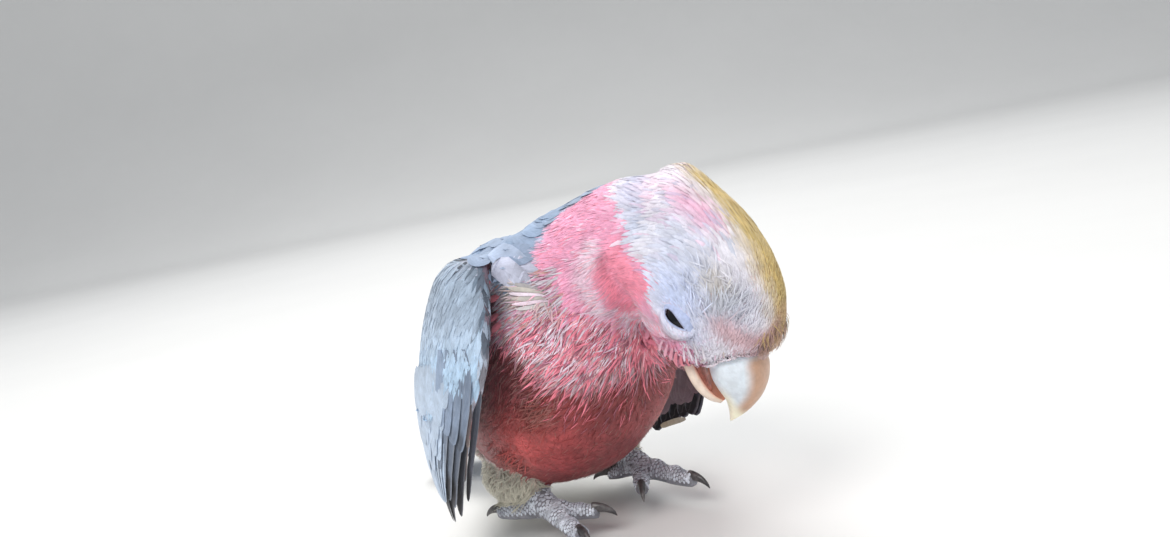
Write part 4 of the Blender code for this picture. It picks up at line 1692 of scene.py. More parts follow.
def on_shoulder(coat: Coat) -> Array:
    """The pinkish-white feathers in front of the wing's bend."""
    x, y, z = coat.skin.points.T
    on_part = coat.body | (coat.skin.parts == Part.WING.value) & (np.abs(x) < 30)
    patch = ramp(np.abs(x), 14, 18) * ramp(z, 57, 60) * ramp(-y, 10, 14) * ramp(71 - z, -2, 2)
    return patch * on_part * (coat.head[:, 1] > 6)


def on_flank(coat: Coat) -> Array:
    """The brown side of the belly before the wing."""
    x, y, z = coat.skin.points.T
    patch = ramp(np.abs(x), 17, 23) * ramp(z, 30, 38) * ramp(58 - z, 0, 6) * ramp(-y, -8, 0)
    return patch * coat.masks["bare"] * coat.body


def on_belly(coat: Coat) -> Array:
    """The nearly bare belly."""
    return coat.masks["bare"] * coat.body


def on_vent(coat: Coat) -> Array:
    """Flanks, thighs and vent, in pale down."""
    return coat.masks["down"] * (coat.skin.points[:, 2] > 2.5)


def on_wing(coat: Coat) -> Array:
    """Both faces of the wings' arms."""
    x, y, z = coat.skin.points.T
    lowest = 41 + 10 * ramp(-y, -1, 5)
    return (coat.skin.parts == Part.WING.value) * ramp(z - lowest, -2.5, 2.5) * ((np.abs(x) > 30) | (y > -10))


FINE = {"thickness": 0.05}  # of most small feathers
# Name, place, vane, spacing, length, width, height of the tip, and what sets the tract apart.
TRACTS: dict[str, tuple[Tract, ...]] = {
    "coat_face": (Tract("face", on_face, TUFT, 0.55, 2.1, 0.6, 0.26, **FINE, variety=(("rose", 0.3, 0.08),)),),
    "coat_bill_edge": (
        Tract(
            *("fringe", on_fringe, WISP, 0.5, 1.7, 0.26, 0.7),
            **FINE, swing=0.4, backwards=True, variety=(("rose", 0.5, 0.35), ("cream", 0.4, 0.1)),
        ),
        Tract(
            *("chin", on_chin, WISP, 0.52, 2.7, 0.32, 0.75),
            **FINE, swing=0.4, variety=(("rose", 0.22, 0.45), ("deep", 0.6, 0.14)),
        ),
        Tract(
            *("gape", on_gape, WISP, 0.6, 2.6, 0.32, 0.9),
            **FINE, swing=0.4, variety=(("rose", 0.25, 0.3), ("rose", 0.0, 0.4)),
        ),
        Tract(
            *("bristles", on_bristles, STRAND, 0.5, 3.6, 0.24, 1.4),
            swing=0.5, backwards=True, variety=(("dark", 0.8, 0.3), ("brown", 0.8, 0.25), ("cream", 1.0, 0.35)),
        ),
    ),
    "coat_crown": (
        Tract("crown", on_crown, BLUNT, 0.66, 4.4, 0.8, 0.26, **FINE, lock=0.25),
        Tract("crest", on_crest, TUFT, 0.95, 8.5, 1.2, 0.6, thickness=0.06, lock=0.14, swing=0.06),
        Tract(
            *("locks", on_locks, BLUNT, 1.3, 6.5, 0.9, 0.45),
            thickness=0.06, lock_size=7.0, swing=0.07, ragged=0.08,
            variety=(("rose", 0.38, 0.16), ("mantle", 0.38, 0.2)),
        ),
    ),
    "coat_neck": (
        Tract(
            *("neck", on_neck, TUFT, 0.52, 3.4, 0.5, 0.3),
            **FINE, lock=0.3, variety=(("rose", 0.5, 0.16), ("deep", 0.4, 0.12)),
        ),
    ),
    "coat_breast": (
        Tract(
            *("breast_wisps", on_breast, WISP, 0.62, 4.2, 0.5, 0.5),
            **FINE, variation=0.4, lock=0.3, lock_size=3.0, swing=0.16, ragged=0.3, dress=(("rose", 0.8),),
            variety=(
                *(("rose", 0.34, 0.26), ("deep", 0.8, 0.22), ("bare", 0.75, 0.14)),
                *(("cream", 0.3, 0.08), ("rose", 0.1, 0.16)),
            ),
        ),
        Tract(
            *("breast_locks", on_breast, WISP, 1.25, 6.2, 0.6, 0.75),
            thickness=0.1, variation=0.4, lock=0.5, lock_size=4.0, swing=0.16, ragged=0.12, dress=(("rose", 0.7),),
            variety=(("rose", 0.3, 0.3), ("deep", 0.8, 0.24), ("bare", 0.6, 0.14), ("cream", 0.25, 0.12)),
        ),
        Tract(
            *("breast_pins", on_breast_edge, WISP, 1.1, 3.8, 0.3, 0.5),
            thickness=0.06, variation=0.45, lock=0.3, lock_size=3.0, swing=0.2, dress=(("rose", 0.9),),
            variety=(("bare", 0.8, 0.5), ("deep", 0.8, 0.2), ("cream", 0.4, 0.06)),
        ),
    ),
    "coat_back": (
        Tract("back_under", on_back_edge, TUFT, 1.1, 5.0, 1.3, 0.3, **FINE),
        Tract(
            *("back", on_back, ROUNDED, 2.2, 7.6, 5.2, 0.55),
            lock=0.1, ragged=0.04, fullness=0.14, dress=(("mantle", 0.85),), variety=(("rose", 0.0, 1.0),),
        ),
        Tract(
            *("shoulder", on_shoulder, WISP, 0.7, 6.0, 0.55, 0.8),
            **FINE, swing=0.15, variety=(("rose", 0.45, 0.3), ("cream", 0.4, 0.12), ("rose", 0.1, 0.3)),
        ),
    ),
    "coat_belly": (
        Tract(
            *("belly_down", on_belly, WISP, 1.5, 3.0, 0.16, 0.35),
            thickness=0.04, lock=0.6, swing=0.4, dress=(("bare", 0.8),),
            variety=(("dark", 0.3, 0.3), ("down", 0.35, 0.14)),
        ),
        Tract(
            *("flank_down", on_flank, WISP, 0.95, 4.5, 0.26, 0.7),
            **FINE, lock=0.3, swing=0.2, dress=(("bare", 0.7),), variety=(("rose", 0.6, 0.2), ("brown", 0.5, 0.3)),
        ),
    ),
    "coat_vent": (
        Tract(
            *("vent_down", on_vent, WISP, 0.66, 5.0, 0.4, 1.4),
            **FINE, lock=0.6, lock_size=3.0, swing=0.4, ragged=0.4,
        ),
    ),
    "coat_wings": (
        Tract("wing_coverts", on_wing, TUFT, 0.88, 6.6, 1.3, 0.28, **FINE, lock=0.12, ragged=0.1, fullness=0.2),
    ),
}


def plumage(name: str, across: float, contrast: float, root: float, tip: float, **settings: float) -> PlumageFinish:
    """A finish for a piece of the coat, with the painted shade of its roots and the tone of its tips."""
    return PlumageFinish(
        "plumage_" + name, across=across, contrast=contrast, root_shade=root, tip_shade=tip, **settings
    )


FINISHES = {
    "coat_bill_edge": plumage("fringe", 4.0, 0.1, 0.94, 1.08, spread=0.06),
    "coat_face": plumage("face", 3.0, 0.09, 0.9, 1.03, spread=0.06),
    "coat_crown": plumage("crown", 3.0, 0.08, 0.88, 1.03, spread=0.06),
    "coat_neck": plumage("neck", 4.0, 0.14, 0.86, 1.08, spread=0.08),
    "coat_breast": plumage("breast", 3.0, 0.2, 0.8, 1.16, spread=0.14),
    "coat_back": plumage("back", 2.5, 0.12, 0.66, 0.8, spread=0.06, along=6.0),
    "coat_belly": plumage("belly", 2.0, 0.2, 0.55, 1.12),
    "coat_vent": plumage("vent", 4.0, 0.16, 0.85, 1.12, spread=0.1),
    "coat_wings": plumage("wings", 3.0, 0.16, 0.88, 1.05, spread=0.1, along=6.0),
    "coat_plumes": plumage("single", 4.0, 0.1, 0.84, 1.06, spread=0.05, along=8.0),
}
SLOTS = dict.fromkeys(("coat_neck", "coat_breast", "coat_plumes"), "rose_plumage")
SLOTS.update(dict.fromkeys(("coat_back", "coat_wings"), "grey_plumage"))


@dataclass(frozen=True)
class Plume:
    """A feather that the pose shows singly, in the left side's frame until mirrored."""

    root: Place
    tip: Place
    width: float
    rise: float  # how far its tip stands off the skin
    colours: tuple[tuple[str, float], ...]
    on_head: bool = False
    paired: bool = True


GREY_PADS = (
    Plume((22.0, -24.0, 68.5), (27.0, -16.6, 75.2), 6.6, 0.8, (("mantle", 0.5), ("rose", 0.1))),
    Plume((20.8, -22.2, 74.0), (26.4, -15.4, 78.2), 6.6, 0.4, (("mantle", 0.75),)),
    Plume((20.4, -25.6, 71.6), (24.6, -20.0, 75.4), 5.0, 0.15, (("mantle", 0.5), ("rose", 0.12))),
)
CREAM_BLADES = (
    Plume((19.6, -26.2, 66.6), (26.0, -19.8, 70.0), 1.0, 0.8, (("down", 0.4), ("dark", 0.5))),
    Plume((19.4, -26.5, 65.8), (26.2, -20.2, 68.8), 1.2, 0.9, (("cream", 0.2), ("down", 0.6), ("dark", 0.18))),
    Plume((19.2, -26.7, 65.0), (26.2, -20.6, 67.4), 0.9, 1.0, (("rose", 0.2),)),
    Plume((19.2, -26.8, 64.4), (26.0, -20.8, 66.0), 1.2, 0.7, (("cream", 0.15), ("down", 0.5), ("dark", 0.18))),
    Plume((19.0, -26.9, 63.8), (25.8, -21.0, 64.6), 0.9, 1.1, (("rose", 0.3),)),
    Plume((18.8, -27.0, 63.2), (25.2, -21.6, 63.2), 1.0, 0.8, (("down", 0.4), ("dark", 0.25))),
)
BLOOD_RED = (("deep", 0.9), ("bare", 0.5))
RED_SPOTS = (
    Plume((26.8, -16.8, 67.0), (28.8, -14.6, 66.0), 1.7, 1.3, BLOOD_RED),
    Plume((27.4, -16.4, 62.6), (29.4, -14.4, 61.0), 1.6, 1.3, BLOOD_RED),
    Plume((27.8, -17.4, 60.4), (29.4, -15.4, 58.4), 1.8, 1.3, BLOOD_RED),
)
THROAT_CURL = tuple(
    Plume(root, tip, width, rise, (("deep", deep), ("rose", rose)), paired=False)
    for root, tip, width, rise, deep, rose in (
        ((4.6, -29.4, 49.8), (5.0, -29.4, 45.4), 1.3, 1.5, 0.7, 1.0),
        ((7.6, -27.2, 49.6), (8.2, -27.4, 45.0), 1.3, 1.5, 0.7, 1.0),
        ((6.0, -28.6, 50.4), (6.6, -28.4, 48.2), 1.6, 1.2, 0.4, 0.9),
    )
)
GAPE_CURLS = tuple(
    Plume(root, tip, width, rise, (("deep", deep), ("rose", rose)), on_head=True)
    for root, tip, width, rise, deep, rose in (
        ((12.2, -12.8, -9.4), (10.6, -17.2, -10.6), 0.6, 1.0, 0.0, 0.12),
        ((12.4, -12.6, -7.6), (11.2, -16.8, -8.6), 0.5, 0.9, 0.0, 0.05),
        ((12.0, -13.4, -10.8), (9.8, -16.6, -12.6), 0.6, 1.0, 0.0, 0.3),
        ((11.6, -14.2, -6.4), (10.2, -18.0, -7.8), 0.5, 0.8, 0.0, 0.05),
        ((11.2, -15.4, -9.0), (9.4, -18.4, -10.4), 0.5, 0.9, 0.0, 0.0),
        ((10.0, -13.6, -13.2), (7.6, -17.0, -16.4), 1.1, 1.2, 0.8, 0.9),
        ((9.4, -14.8, -12.8), (7.0, -18.2, -15.4), 1.0, 1.2, 0.9, 0.9),
        ((10.6, -12.4, -13.4), (8.4, -15.6, -17.0), 0.9, 1.2, 0.5, 0.8),
        ((10.4, -11.6, -14.4), (7.8, -14.4, -18.4), 0.9, 1.2, 0.3, 0.7),
        ((10.8, -10.2, -15.2), (8.4, -12.8, -19.2), 0.8, 1.2, 0.2, 0.6),
        ((9.0, -15.8, -12.0), (7.4, -19.2, -13.8), 0.8, 1.0, 0.9, 1.0),
    )
)
PLUMES = (*GREY_PADS, *CREAM_BLADES, *RED_SPOTS, *THROAT_CURL, *GAPE_CURLS)


class Plumage:
    """Lays single feathers on the skin."""

    def __init__(self, skin: Skin, plumes: tuple[Plume, ...] = PLUMES) -> None:
        """Keeps the feathers to be laid."""
        self.skin = skin
        self.plumes = plumes

    def build(self, rng: np.random.Generator) -> bpy.types.Object:
        """Makes the feathers as one object."""
        shares = np.array([share for share, _ in ROUNDED.outline])
        chosen = [(plume, side) for plume in self.plumes for side in Side if plume.paired or side is Side.LEFT]
        courses = []
        for plume, side in chosen:
            ends = np.array((plume.root, plume.tip)) * ((side.value if plume.paired else 1), 1, 1)
            ends = BIRD.from_head(ends) if plume.on_head else ends
            courses.append(ends[0] + np.outer(shares, ends[1] - ends[0]))
        courses = np.array(courses)
        point, normal, _ = self.skin.under(courses.reshape(-1, 3), 8)
        normals = normal.reshape(courses.shape)
        rise = 0.3 + np.array([plume.rise for plume, _ in chosen])[:, None] * shares**0.7
        courses = point.reshape(courses.shape) + normals * rise[..., None]
        masks = {word: np.zeros(len(chosen)) for words in PATTERNS.values() for word in words}
        for row, (plume, _) in enumerate(chosen):
            for word, amount in plume.colours:
                masks[word][row] = amount
        growth = Growth(
            vane=ROUNDED,
            course=courses,
            normals=normals,
            width=np.array([plume.width for plume, _ in chosen]),
            thickness=0.1,
            masks=masks,
            unwrap=self.skin.unwrap[self.skin.nearest(courses[:, 0])],
            rng=rng,
            ragged=0.05,
            fullness=0.3,
        )
        return growth.piece("coat_plumes", FINISHES["coat_plumes"], SLOTS["coat_plumes"])


# ---------------------------------------------------------------------------------------------------------
# Wings and tail
# ---------------------------------------------------------------------------------------------------------


@dataclass
class Wing:
    """The flight feathers and greater coverts of one drooping wing, in the left wing's frame until mirrored."""

    side: Side
    # Leading and trailing edge: (Z, leading Y, trailing Y, X of the outer face).
    edges: Line = (
        (54, -20, 11, 42.5),
        (44, -17.5, 14.5, 43.4),
        (34, -11.5, 16.2, 43.5),
        (24, -4.5, 16.6, 43.1),
        (14, 2.6, 15.2, 42.2),
        (6.5, 9, 12.4, 41.0),
    )
    # Z and share of the chord at the root and the tip, layer, width, dark, cream, brown.
    primaries: Line = (
        (48, 0.12, 8.5, 0.18, -1.9, 5.2, 0.95, 0.0, 0.0),
        (48, 0.22, 6.5, 0.42, -1.75, 5.2, 0.95, 0.0, 0.0),
        (48, 0.30, 6.6, 0.62, -1.6, 5.2, 0.95, 0.0, 0.0),
        (48, 0.40, 8.8, 0.80, -1.45, 5.0, 0.95, 0.0, 0.0),
        (60, 0.00, 13.0, 0.01, -1.9, 2.4, 0.9, 0.0, 0.1),  # at the leading edge
    )
    plan: Line = (
        # the leading edge's tan, made paler by a painted highlight
        (50, 0.06, 20.0, 0.04, -1.2, 1.5, 0.1, 0.35, 0.45),  # pale streak of the leading edge
        (54, 0.10, 12.0, 0.20, -0.5, 4.6, 0.78, 0.0, 0.0),  # inner primaries, in a dark wedge
        (54, 0.18, 14.5, 0.30, -0.4, 4.8, 0.70, 0.0, 0.0),
        (54, 0.27, 17.5, 0.40, -0.3, 4.8, 0.60, 0.0, 0.0),
        (54, 0.36, 24.0, 0.44, -0.2, 4.6, 0.42, 0.0, 0.0),
        (57, 0.06, 30.0, 0.10, -0.1, 4.2, 0.50, 0.0, 0.0),  # their coverts
        (57, 0.15, 32.0, 0.19, 0.0, 4.2, 0.40, 0.0, 0.0),
        (57, 0.24, 34.5, 0.28, 0.1, 4.2, 0.30, 0.0, 0.0),
        (57, 0.33, 37.0, 0.37, 0.2, 4.2, 0.17, 0.0, 0.0),
        (57, 0.06, 43.0, 0.08, -0.5, 4.2, 0.30, 0.0, 0.0),
        (57, 0.17, 43.0, 0.19, -0.5, 4.4, 0.20, 0.0, 0.0),
        (57, 0.28, 42.0, 0.30, -0.5, 4.4, 0.12, 0.0, 0.0),
    )
    covert_rows: Line = ((24, 46, 7), (31, 50, 8), (37, 54, 9))  # Z of the tips and roots, and how many
    spread: float = 0.0  # 1 for a wing that hangs open and sweeps back
    shoulder: float = 77.5  # Z where the spread begins
    drop: float = 71.5  # from there to the tip
    lead_sweep: float = 13.0  # how far the tip's leading edge moves ahead, and its trailing edge back
    trail_sweep: float = 4.0
    camber: float = 2.9  # how far its edges lie inside its outer face
    stations: int = 28  # of a course before it is read at the vane's own
    finish: PlumageFinish = plumage(
        "quills", 8.0, 0.14, 0.9, 0.97, along=26.0, spread=0.05, shaft=0.06, fringe=0.14, dark_tip=0.9, relief=0.12
    )

    def contour(self, z: float, share: float) -> Array:
        """A place on the wing at height z, from the leading edge at 0 to the trailing edge at 1."""
        rows = smooth_curve(self.edges, 6)[::-1]
        lead, trail, x = (np.interp(z, rows[:, 0], rows[:, k]) for k in (1, 2, 3))
        fan = self.spread * ((self.shoulder - z) / self.drop) ** 2
        lead, trail = lead - self.lead_sweep * fan, trail + self.trail_sweep * fan
        return np.array([x, lead + (trail - lead) * share, z])

    def course(
        self,
        root: tuple[float, float],
        tip: tuple[float, float],
        layer: float,
        bow: float = 0.0,
        lift: float = 0.0,
    ) -> Array:
        """A feather's course over the wing.

        Args:
            root: Z and share of the chord at its root.
            tip: The same at its tip.
            layer: How far outwards it lies.
            bow: How far its middle bows towards the leading edge, as a share of the chord.
            lift: How much further outwards its tip lies.

        Returns:
            Places at the stations of a long vane.
        """
        places = []
        for t in np.linspace(0, 1, self.stations):
            share = root[1] + (tip[1] - root[1]) * t - bow * math.sin(math.pi * t)
            place = self.contour(root[0] + (tip[0] - root[0]) * t, share)
            place[0] += layer + lift * t - self.camber * (2 * share - 1) ** 2
            places.append(place)
        return self.at_shares(np.array(places), np.array([t for t, _ in LONG.outline]))

    def swept(self) -> list[tuple[Array, float, float, float, float]]:
        """Mauve down under a spread wing, darkened by painted shade, and the cream edge of one feather."""
        found = []
        for j in range(7):
            tip = (21.0 - 1.8 * j + 1.2 * math.sin(2.0 * j), 0.02 + 0.14 * j)
            course = self.course((54, 0.06 + 0.07 * j), tip, -3.0 - 0.12 * j)
            # its dark share is painted shade under the spread wing
            found.append((course, 5.4, 0.42, 0.0, 0.6))
        return [*found, (self.course((12.2, 0.16), (7.8, 0.70), -4.4), 1.25, 0.0, 0.6, 0.0)]

    def rows(self) -> list[tuple[Array, float, float, float, float]]:
        """Courses, widths, and shares of dark, cream and brown of the long feathers, inner layers first."""
        primaries = self.primaries
        if self.spread:  # they sweep back, lower towards the rear
            primaries = [
                (46, 0.02 * j, 12.6 - 1.75 * j, 0.24 + 0.17 * j, -1.9 + 0.1 * j, 4.4, 0.95, 0.0, 0.0)
                for j in range(5)
            ]
        found = [(self.course(row[:2], row[2:4], row[4]), *row[5:]) for row in (*primaries, *self.plan)]
        if self.spread:
            found += self.swept()
        for i in range(7):  # secondaries
            k = i / 6
            tip = (13.4 + 3.5 * k**2, 0.54 + 0.33 * k)
            course = self.course((52 - 5 * k, 0.46 + 0.45 * k), tip, -0.75 + 0.1 * i, 0.03 * (1 - k))
            # painted highlight: a yellowish-white sheen over the middle secondaries, in cream
            cream = 0.16 * float(bell(np.array(k - 0.3), 0.2))
            found.append((course, 8.2, 0.06 * (1 - k) ** 4, cream, 0.0))
        for row, (low, high, count) in enumerate(self.covert_rows):
            for i in range(count):
                k = i / (count - 1)
                share = 0.42 - 0.06 * row + (0.47 + 0.05 * row) * k
                tip = (low + 2.4 * math.sin(2.2 * i + row) + 3.0 * (1 - k) ** 2, share + 0.02)
                course = self.course((high - 3 * k, share), tip, -0.3 + 0.15 * row, lift=0.3 + 0.1 * (i % 2))
                found.append((course, 5.4 - 0.6 * row, 0.06 * (1 - k) ** 3, 0.02, 0.0))
        return found

    def build(self, skin: Skin, rng: np.random.Generator) -> bpy.types.Object:
        """Makes the flight feathers and the row of coverts over their roots."""
        courses, widths, dark, cream, brown = (np.array(column) for column in zip(*self.rows()))
        normals = np.zeros_like(courses)
        normals[..., 0] = 1
        normals[..., 1] = (courses[..., 1] + 1) * 0.02  # a wing turns a little towards its edges
        courses = courses * (self.side.value, 1, 1)
        normals = unit(normals * (self.side.value, 1, 1))
        count = len(courses)
        brown = np.maximum(brown, 0.3 * self.spread * (dark > 0.5))
        masks = quill_masks(count, dark * (1 - 0.16 * self.spread), cream, brown)
        masks["mantle"] = np.where(dark < 0.1, 0.4, 0.9)
        masks["slate"] = np.where((dark < 0.1) & (cream < 0.3), 0.6, 0.0)
        growth = Growth(
            vane=LONG,
            course=courses,
            normals=normals,
            width=widths * (1 + 0.45 * self.spread),
            thickness=0.08,
            masks=masks,
            unwrap=skin.unwrap[skin.nearest(courses[:, 0])],
            rng=rng,
            ragged=0.02,
            fullness=0.1,
        )
        word = self.side.word
        return growth.piece("quills_" + word, self.finish, "dark_plumage", "flight_feathers_" + word)

    @staticmethod
    def at_shares(course: Array, shares: Array) -> Array:
        """The course read at these shares of its length."""
        step = np.linalg.norm(np.diff(course, axis=0), axis=1)
        run = np.concatenate([[0], np.cumsum(step)])
        return np.stack([np.interp(shares * run[-1], run, course[:, k]) for k in range(3)], axis=1)


def quill_masks(count: int, dark: Array, cream: Array, brown: Array) -> dict[str, Array]:
    """Shares of colour for long feathers of silvery grey.

    Args:
        count: How many feathers.
        dark: Share of slate black in each.
        cream: Share of cream in each.
        brown: Share of brown in each.

    Returns:
        One array for each colour name. The grey lies under the others, so it stands in as mantle.
    """
    masks = {word: np.zeros(count) for words in PATTERNS.values() for word in words}
    masks.update(mantle=np.full(count, 0.9), dark=dark, cream=cream, brown=brown)
    return masks


@dataclass
class Tail:
    """Twelve short tail feathers laid along the floor."""

    centre_line: Line = ((42, 16), (50, 11), (60, 6), (72, 3.2), (91, 1.0))
    pairs: int = 6
    half_width: float = 13.0
    start: float = 42.0

    def build(self, skin: Skin, rng: np.random.Generator) -> bpy.types.Object:
        """Makes the tail."""
        line = smooth_curve(tuple((0, y, z) for y, z in self.centre_line), 6)
        shares = np.array([t for t, _ in LONG.outline])
        courses, normals = [], []
        for i in range(2 * self.pairs):
            k = i / (2 * self.pairs - 1) * 2 - 1
            course = line.copy()
            t = np.linspace(0, 1, len(course))
            course[:, 0] = k * (2.5 + (self.half_width - 6) * t)
            course[:, 1] = self.start + (course[:, 1] - self.start) * (1 - 0.06 * k * k)
            course[:, 2] += 0.9 * (1 - abs(k)) * (1 - 0.6 * t) - 0.4 * t
            place = Wing.at_shares(course, shares)
            place[:, 2] = np.maximum(place[:, 2], 0.25)
            ahead = unit(np.gradient(place, axis=0))
            courses.append(place)
            normals.append(unit(np.cross((1, 0, 0), ahead)))
        course, normals = np.array(courses), np.array(normals)
        count = len(course)
        none = np.zeros(count)
        growth = Growth(
            vane=LONG,
            course=course,
            normals=normals,
            width=np.full(count, 6.4),
            thickness=0.12,
            masks=quill_masks(count, np.full(count, 0.5), none, none),
            unwrap=skin.unwrap[skin.nearest(course[:, 0])],
            rng=rng,
            ragged=0.03,
            fullness=0.12,
        )
        return growth.piece("tail_feathers", Wing.finish, "grey_plumage", "tail")


# ---------------------------------------------------------------------------------------------------------
# Head: bill, cere, tongue, eyes
# ---------------------------------------------------------------------------------------------------------


ACROSS = np.array((1, 0, 0))  # from the right to the left of the head


@dataclass
class Bill:
    """The hooked upper bill and the scoop under it, in the head's frame."""

    # Upper bill, root to tip: (Y, Z of the ridge, Y, Z of the cutting edge, half width).
    hook: Line = (
        (-24.2, 1.8, -17.0, -9.8, 8.6),
        (-27.4, 0.9, -20.0, -11.0, 8.8),
        (-30.0, -0.7, -23.5, -11.7, 7.8),
        (-32.2, -3.0, -26.8, -11.5, 6.1),
        (-33.8, -5.9, -29.8, -11.1, 4.3),
        (-34.9, -9.0, -33.0, -11.9, 2.1),
        (-35.5, -12.1, -35.3, -12.9, 0.6),
    )
    # Lower bill, throat to tip: (inner Y, Z, outer Y, Z, half width).
    scoop: Line = (
        (-14, -12.4, -13, -16.4, 5.8),
        (-19, -12.8, -19, -17.0, 6.2),
        (-24, -12.6, -24.5, -16.6, 5.8),
        (-27.6, -12.0, -28.3, -15.1, 4.4),
        (-29.9, -11.5, -30.5, -13.0, 2.0),
    )
    around: int = 40

    def build_upper(self) -> bpy.types.Object:
        """Makes the upper bill, with its ridge, swollen sides and notched edge."""
        rows = [(0, -15, 2, 0, -14, -10.5, 6.6)]  # its root, inside the face
        rows += [(0, top_y, top_z, 0, low_y, low_z, half) for top_y, top_z, low_y, low_z, half in self.hook]
        rings = [section(row[:3], row[3:6], ACROSS, row[6], self.around, 2.3) for row in smooth_curve(tuple(rows), 6)]
        made = tube_on_head("bill_upper_horn", rings)
        head = BIRD.to_head(vertex_places(made.data))
        ridge = smooth_curve(tuple(row[:2] for row in self.hook), 6)
        ridge_gap = np.min(np.linalg.norm(head[:, None, 1:] - ridge[None], axis=2), axis=1)
        tint = np.zeros((len(head), 4))
        tint[:, 0] = ramp(ridge_gap, 3.4, 1.0) * ramp(-head[:, 1], 20, 24) * ramp(head[:, 2], -13, -9)
        tint[:, 1] = ramp(-head[:, 2], 6.5, 10) * ramp(-head[:, 1], 25, 30)
        tint[:, 2] = ramp(-head[:, 2], 9.5, 12.5) * 0.2
        store_colour(made.data, "tint", tint)
        HornFinish().put_on(made)
        return finished(made, "horn", "bill_upper")

    def build_lower(self) -> bpy.types.Object:
        """Makes the lower bill, hollowed towards the mouth."""
        rings = []
        for row in smooth_curve(self.scoop, 6):
            inner, outer = np.array((0, row[0], row[1])), np.array((0, row[2], row[3]))
            ring = section(inner, outer, ACROSS, row[4], self.around, 2.6)
            reach = unit(outer - inner)
            share = np.clip(1 - np.abs(ring[:, 0]) / (row[4] * 0.8), 0, 1)
            upper = (ring - (inner + outer) / 2) @ reach < 0
            ring += np.outer(np.sqrt(share) * upper * min(2.6, np.linalg.norm(outer - inner) * 0.62), reach)
            rings.append(ring)
        made = tube_on_head("bill_lower_horn", rings)
        rings = np.array(rings)
        tint = np.zeros((rings.size // 3, 4))
        local = rings - rings.mean(axis=1, keepdims=True)
        width = np.abs(local[..., 0]) / np.abs(local[..., 0]).max(axis=1, keepdims=True)
        inside = (np.sin(np.arange(self.around) * math.tau / self.around) > 0.02)[None] * ramp(width, 0.96, 0.84)
        tint[:, 2] = 0.75
        tint[:, 3] = inside.ravel() * 0.9
        store_colour(made.data, "tint", tint)
        HornFinish().put_on(made)
        return finished(made, "horn", "bill_lower")

    @staticmethod
    def build_tongue() -> bpy.types.Object:
        """Makes the blunt tongue."""
        rings = []
        for t in np.linspace(0, 1, 14):
            y = -15.5 - 11.5 * t
            half = 3.0 * math.sqrt(max(1 - (2 * t - 1) ** 2, 0.02))
            top, low = np.array((0, y, -13.6 - 0.3 * t)), np.array((0, y, -15.0 - 0.1 * t))
            middle = (top + low) / 2
            squeeze = 0.3 + 0.7 * half / 3.0
            top, low = (middle + (end - middle) * squeeze for end in (top, low))
            rings.append(section(top, low, ACROSS, half, 20, 2.2))
        made = tube_on_head("tongue_flesh", rings)
        ScaleFinish("tongue_skin", roughness=0.35, low=(0.74, 0.26, 0.20), high=(0.92, 0.40, 0.32)).put_on(made)
        return finished(made, "bare_skin", "tongue")


@dataclass
class Cere:
    """The low fleshy band over the bill, with a nostril on each side."""

    centre: Place = (0, -22.6, 1.5)
    radii: Place = (5.2, 1.8, 1.5)
    nostril: Place = (3.0, -24.4, 2.6)

    def build(self) -> bpy.types.Object:
        """Makes the cere."""
        rings = []
        for t in np.linspace(-1, 1, 41):
            x = t * self.radii[0]
            size = math.sqrt(max(1 - t * t, 0.02))
            centre = np.array((x, self.centre[1] + 1.4 * t * t, self.centre[2] - 1.6 * t * t))
            reach = np.array((0, 0, self.radii[2] * size))
            rings.append(section(centre + reach, centre - reach, np.array((0, 1, 0)), self.radii[1] * size, 28, 2.0))
        rings = np.array(rings)
        points = rings.reshape(-1, 3)
        outward = unit(points - np.array(self.centre) * (0, 1, 1) - points * (1, 0, 0))
        for side in Side:
            hole = np.array(self.nostril) * (side.value, 1, 1)
            gap = np.linalg.norm(points - hole, axis=1)
            points = points - outward * (bell(gap, 0.75) * 1.3 - bell(gap - 1.3, 0.5) * 0.25)[:, None]
        made = tube_on_head("cere_skin", points.reshape(rings.shape))
        ScaleFinish("cere_skin", low=(0.34, 0.20, 0.18), high=(0.52, 0.36, 0.33), roughness=0.45).put_on(made)
        return finished(made, "bare_skin", "cere")


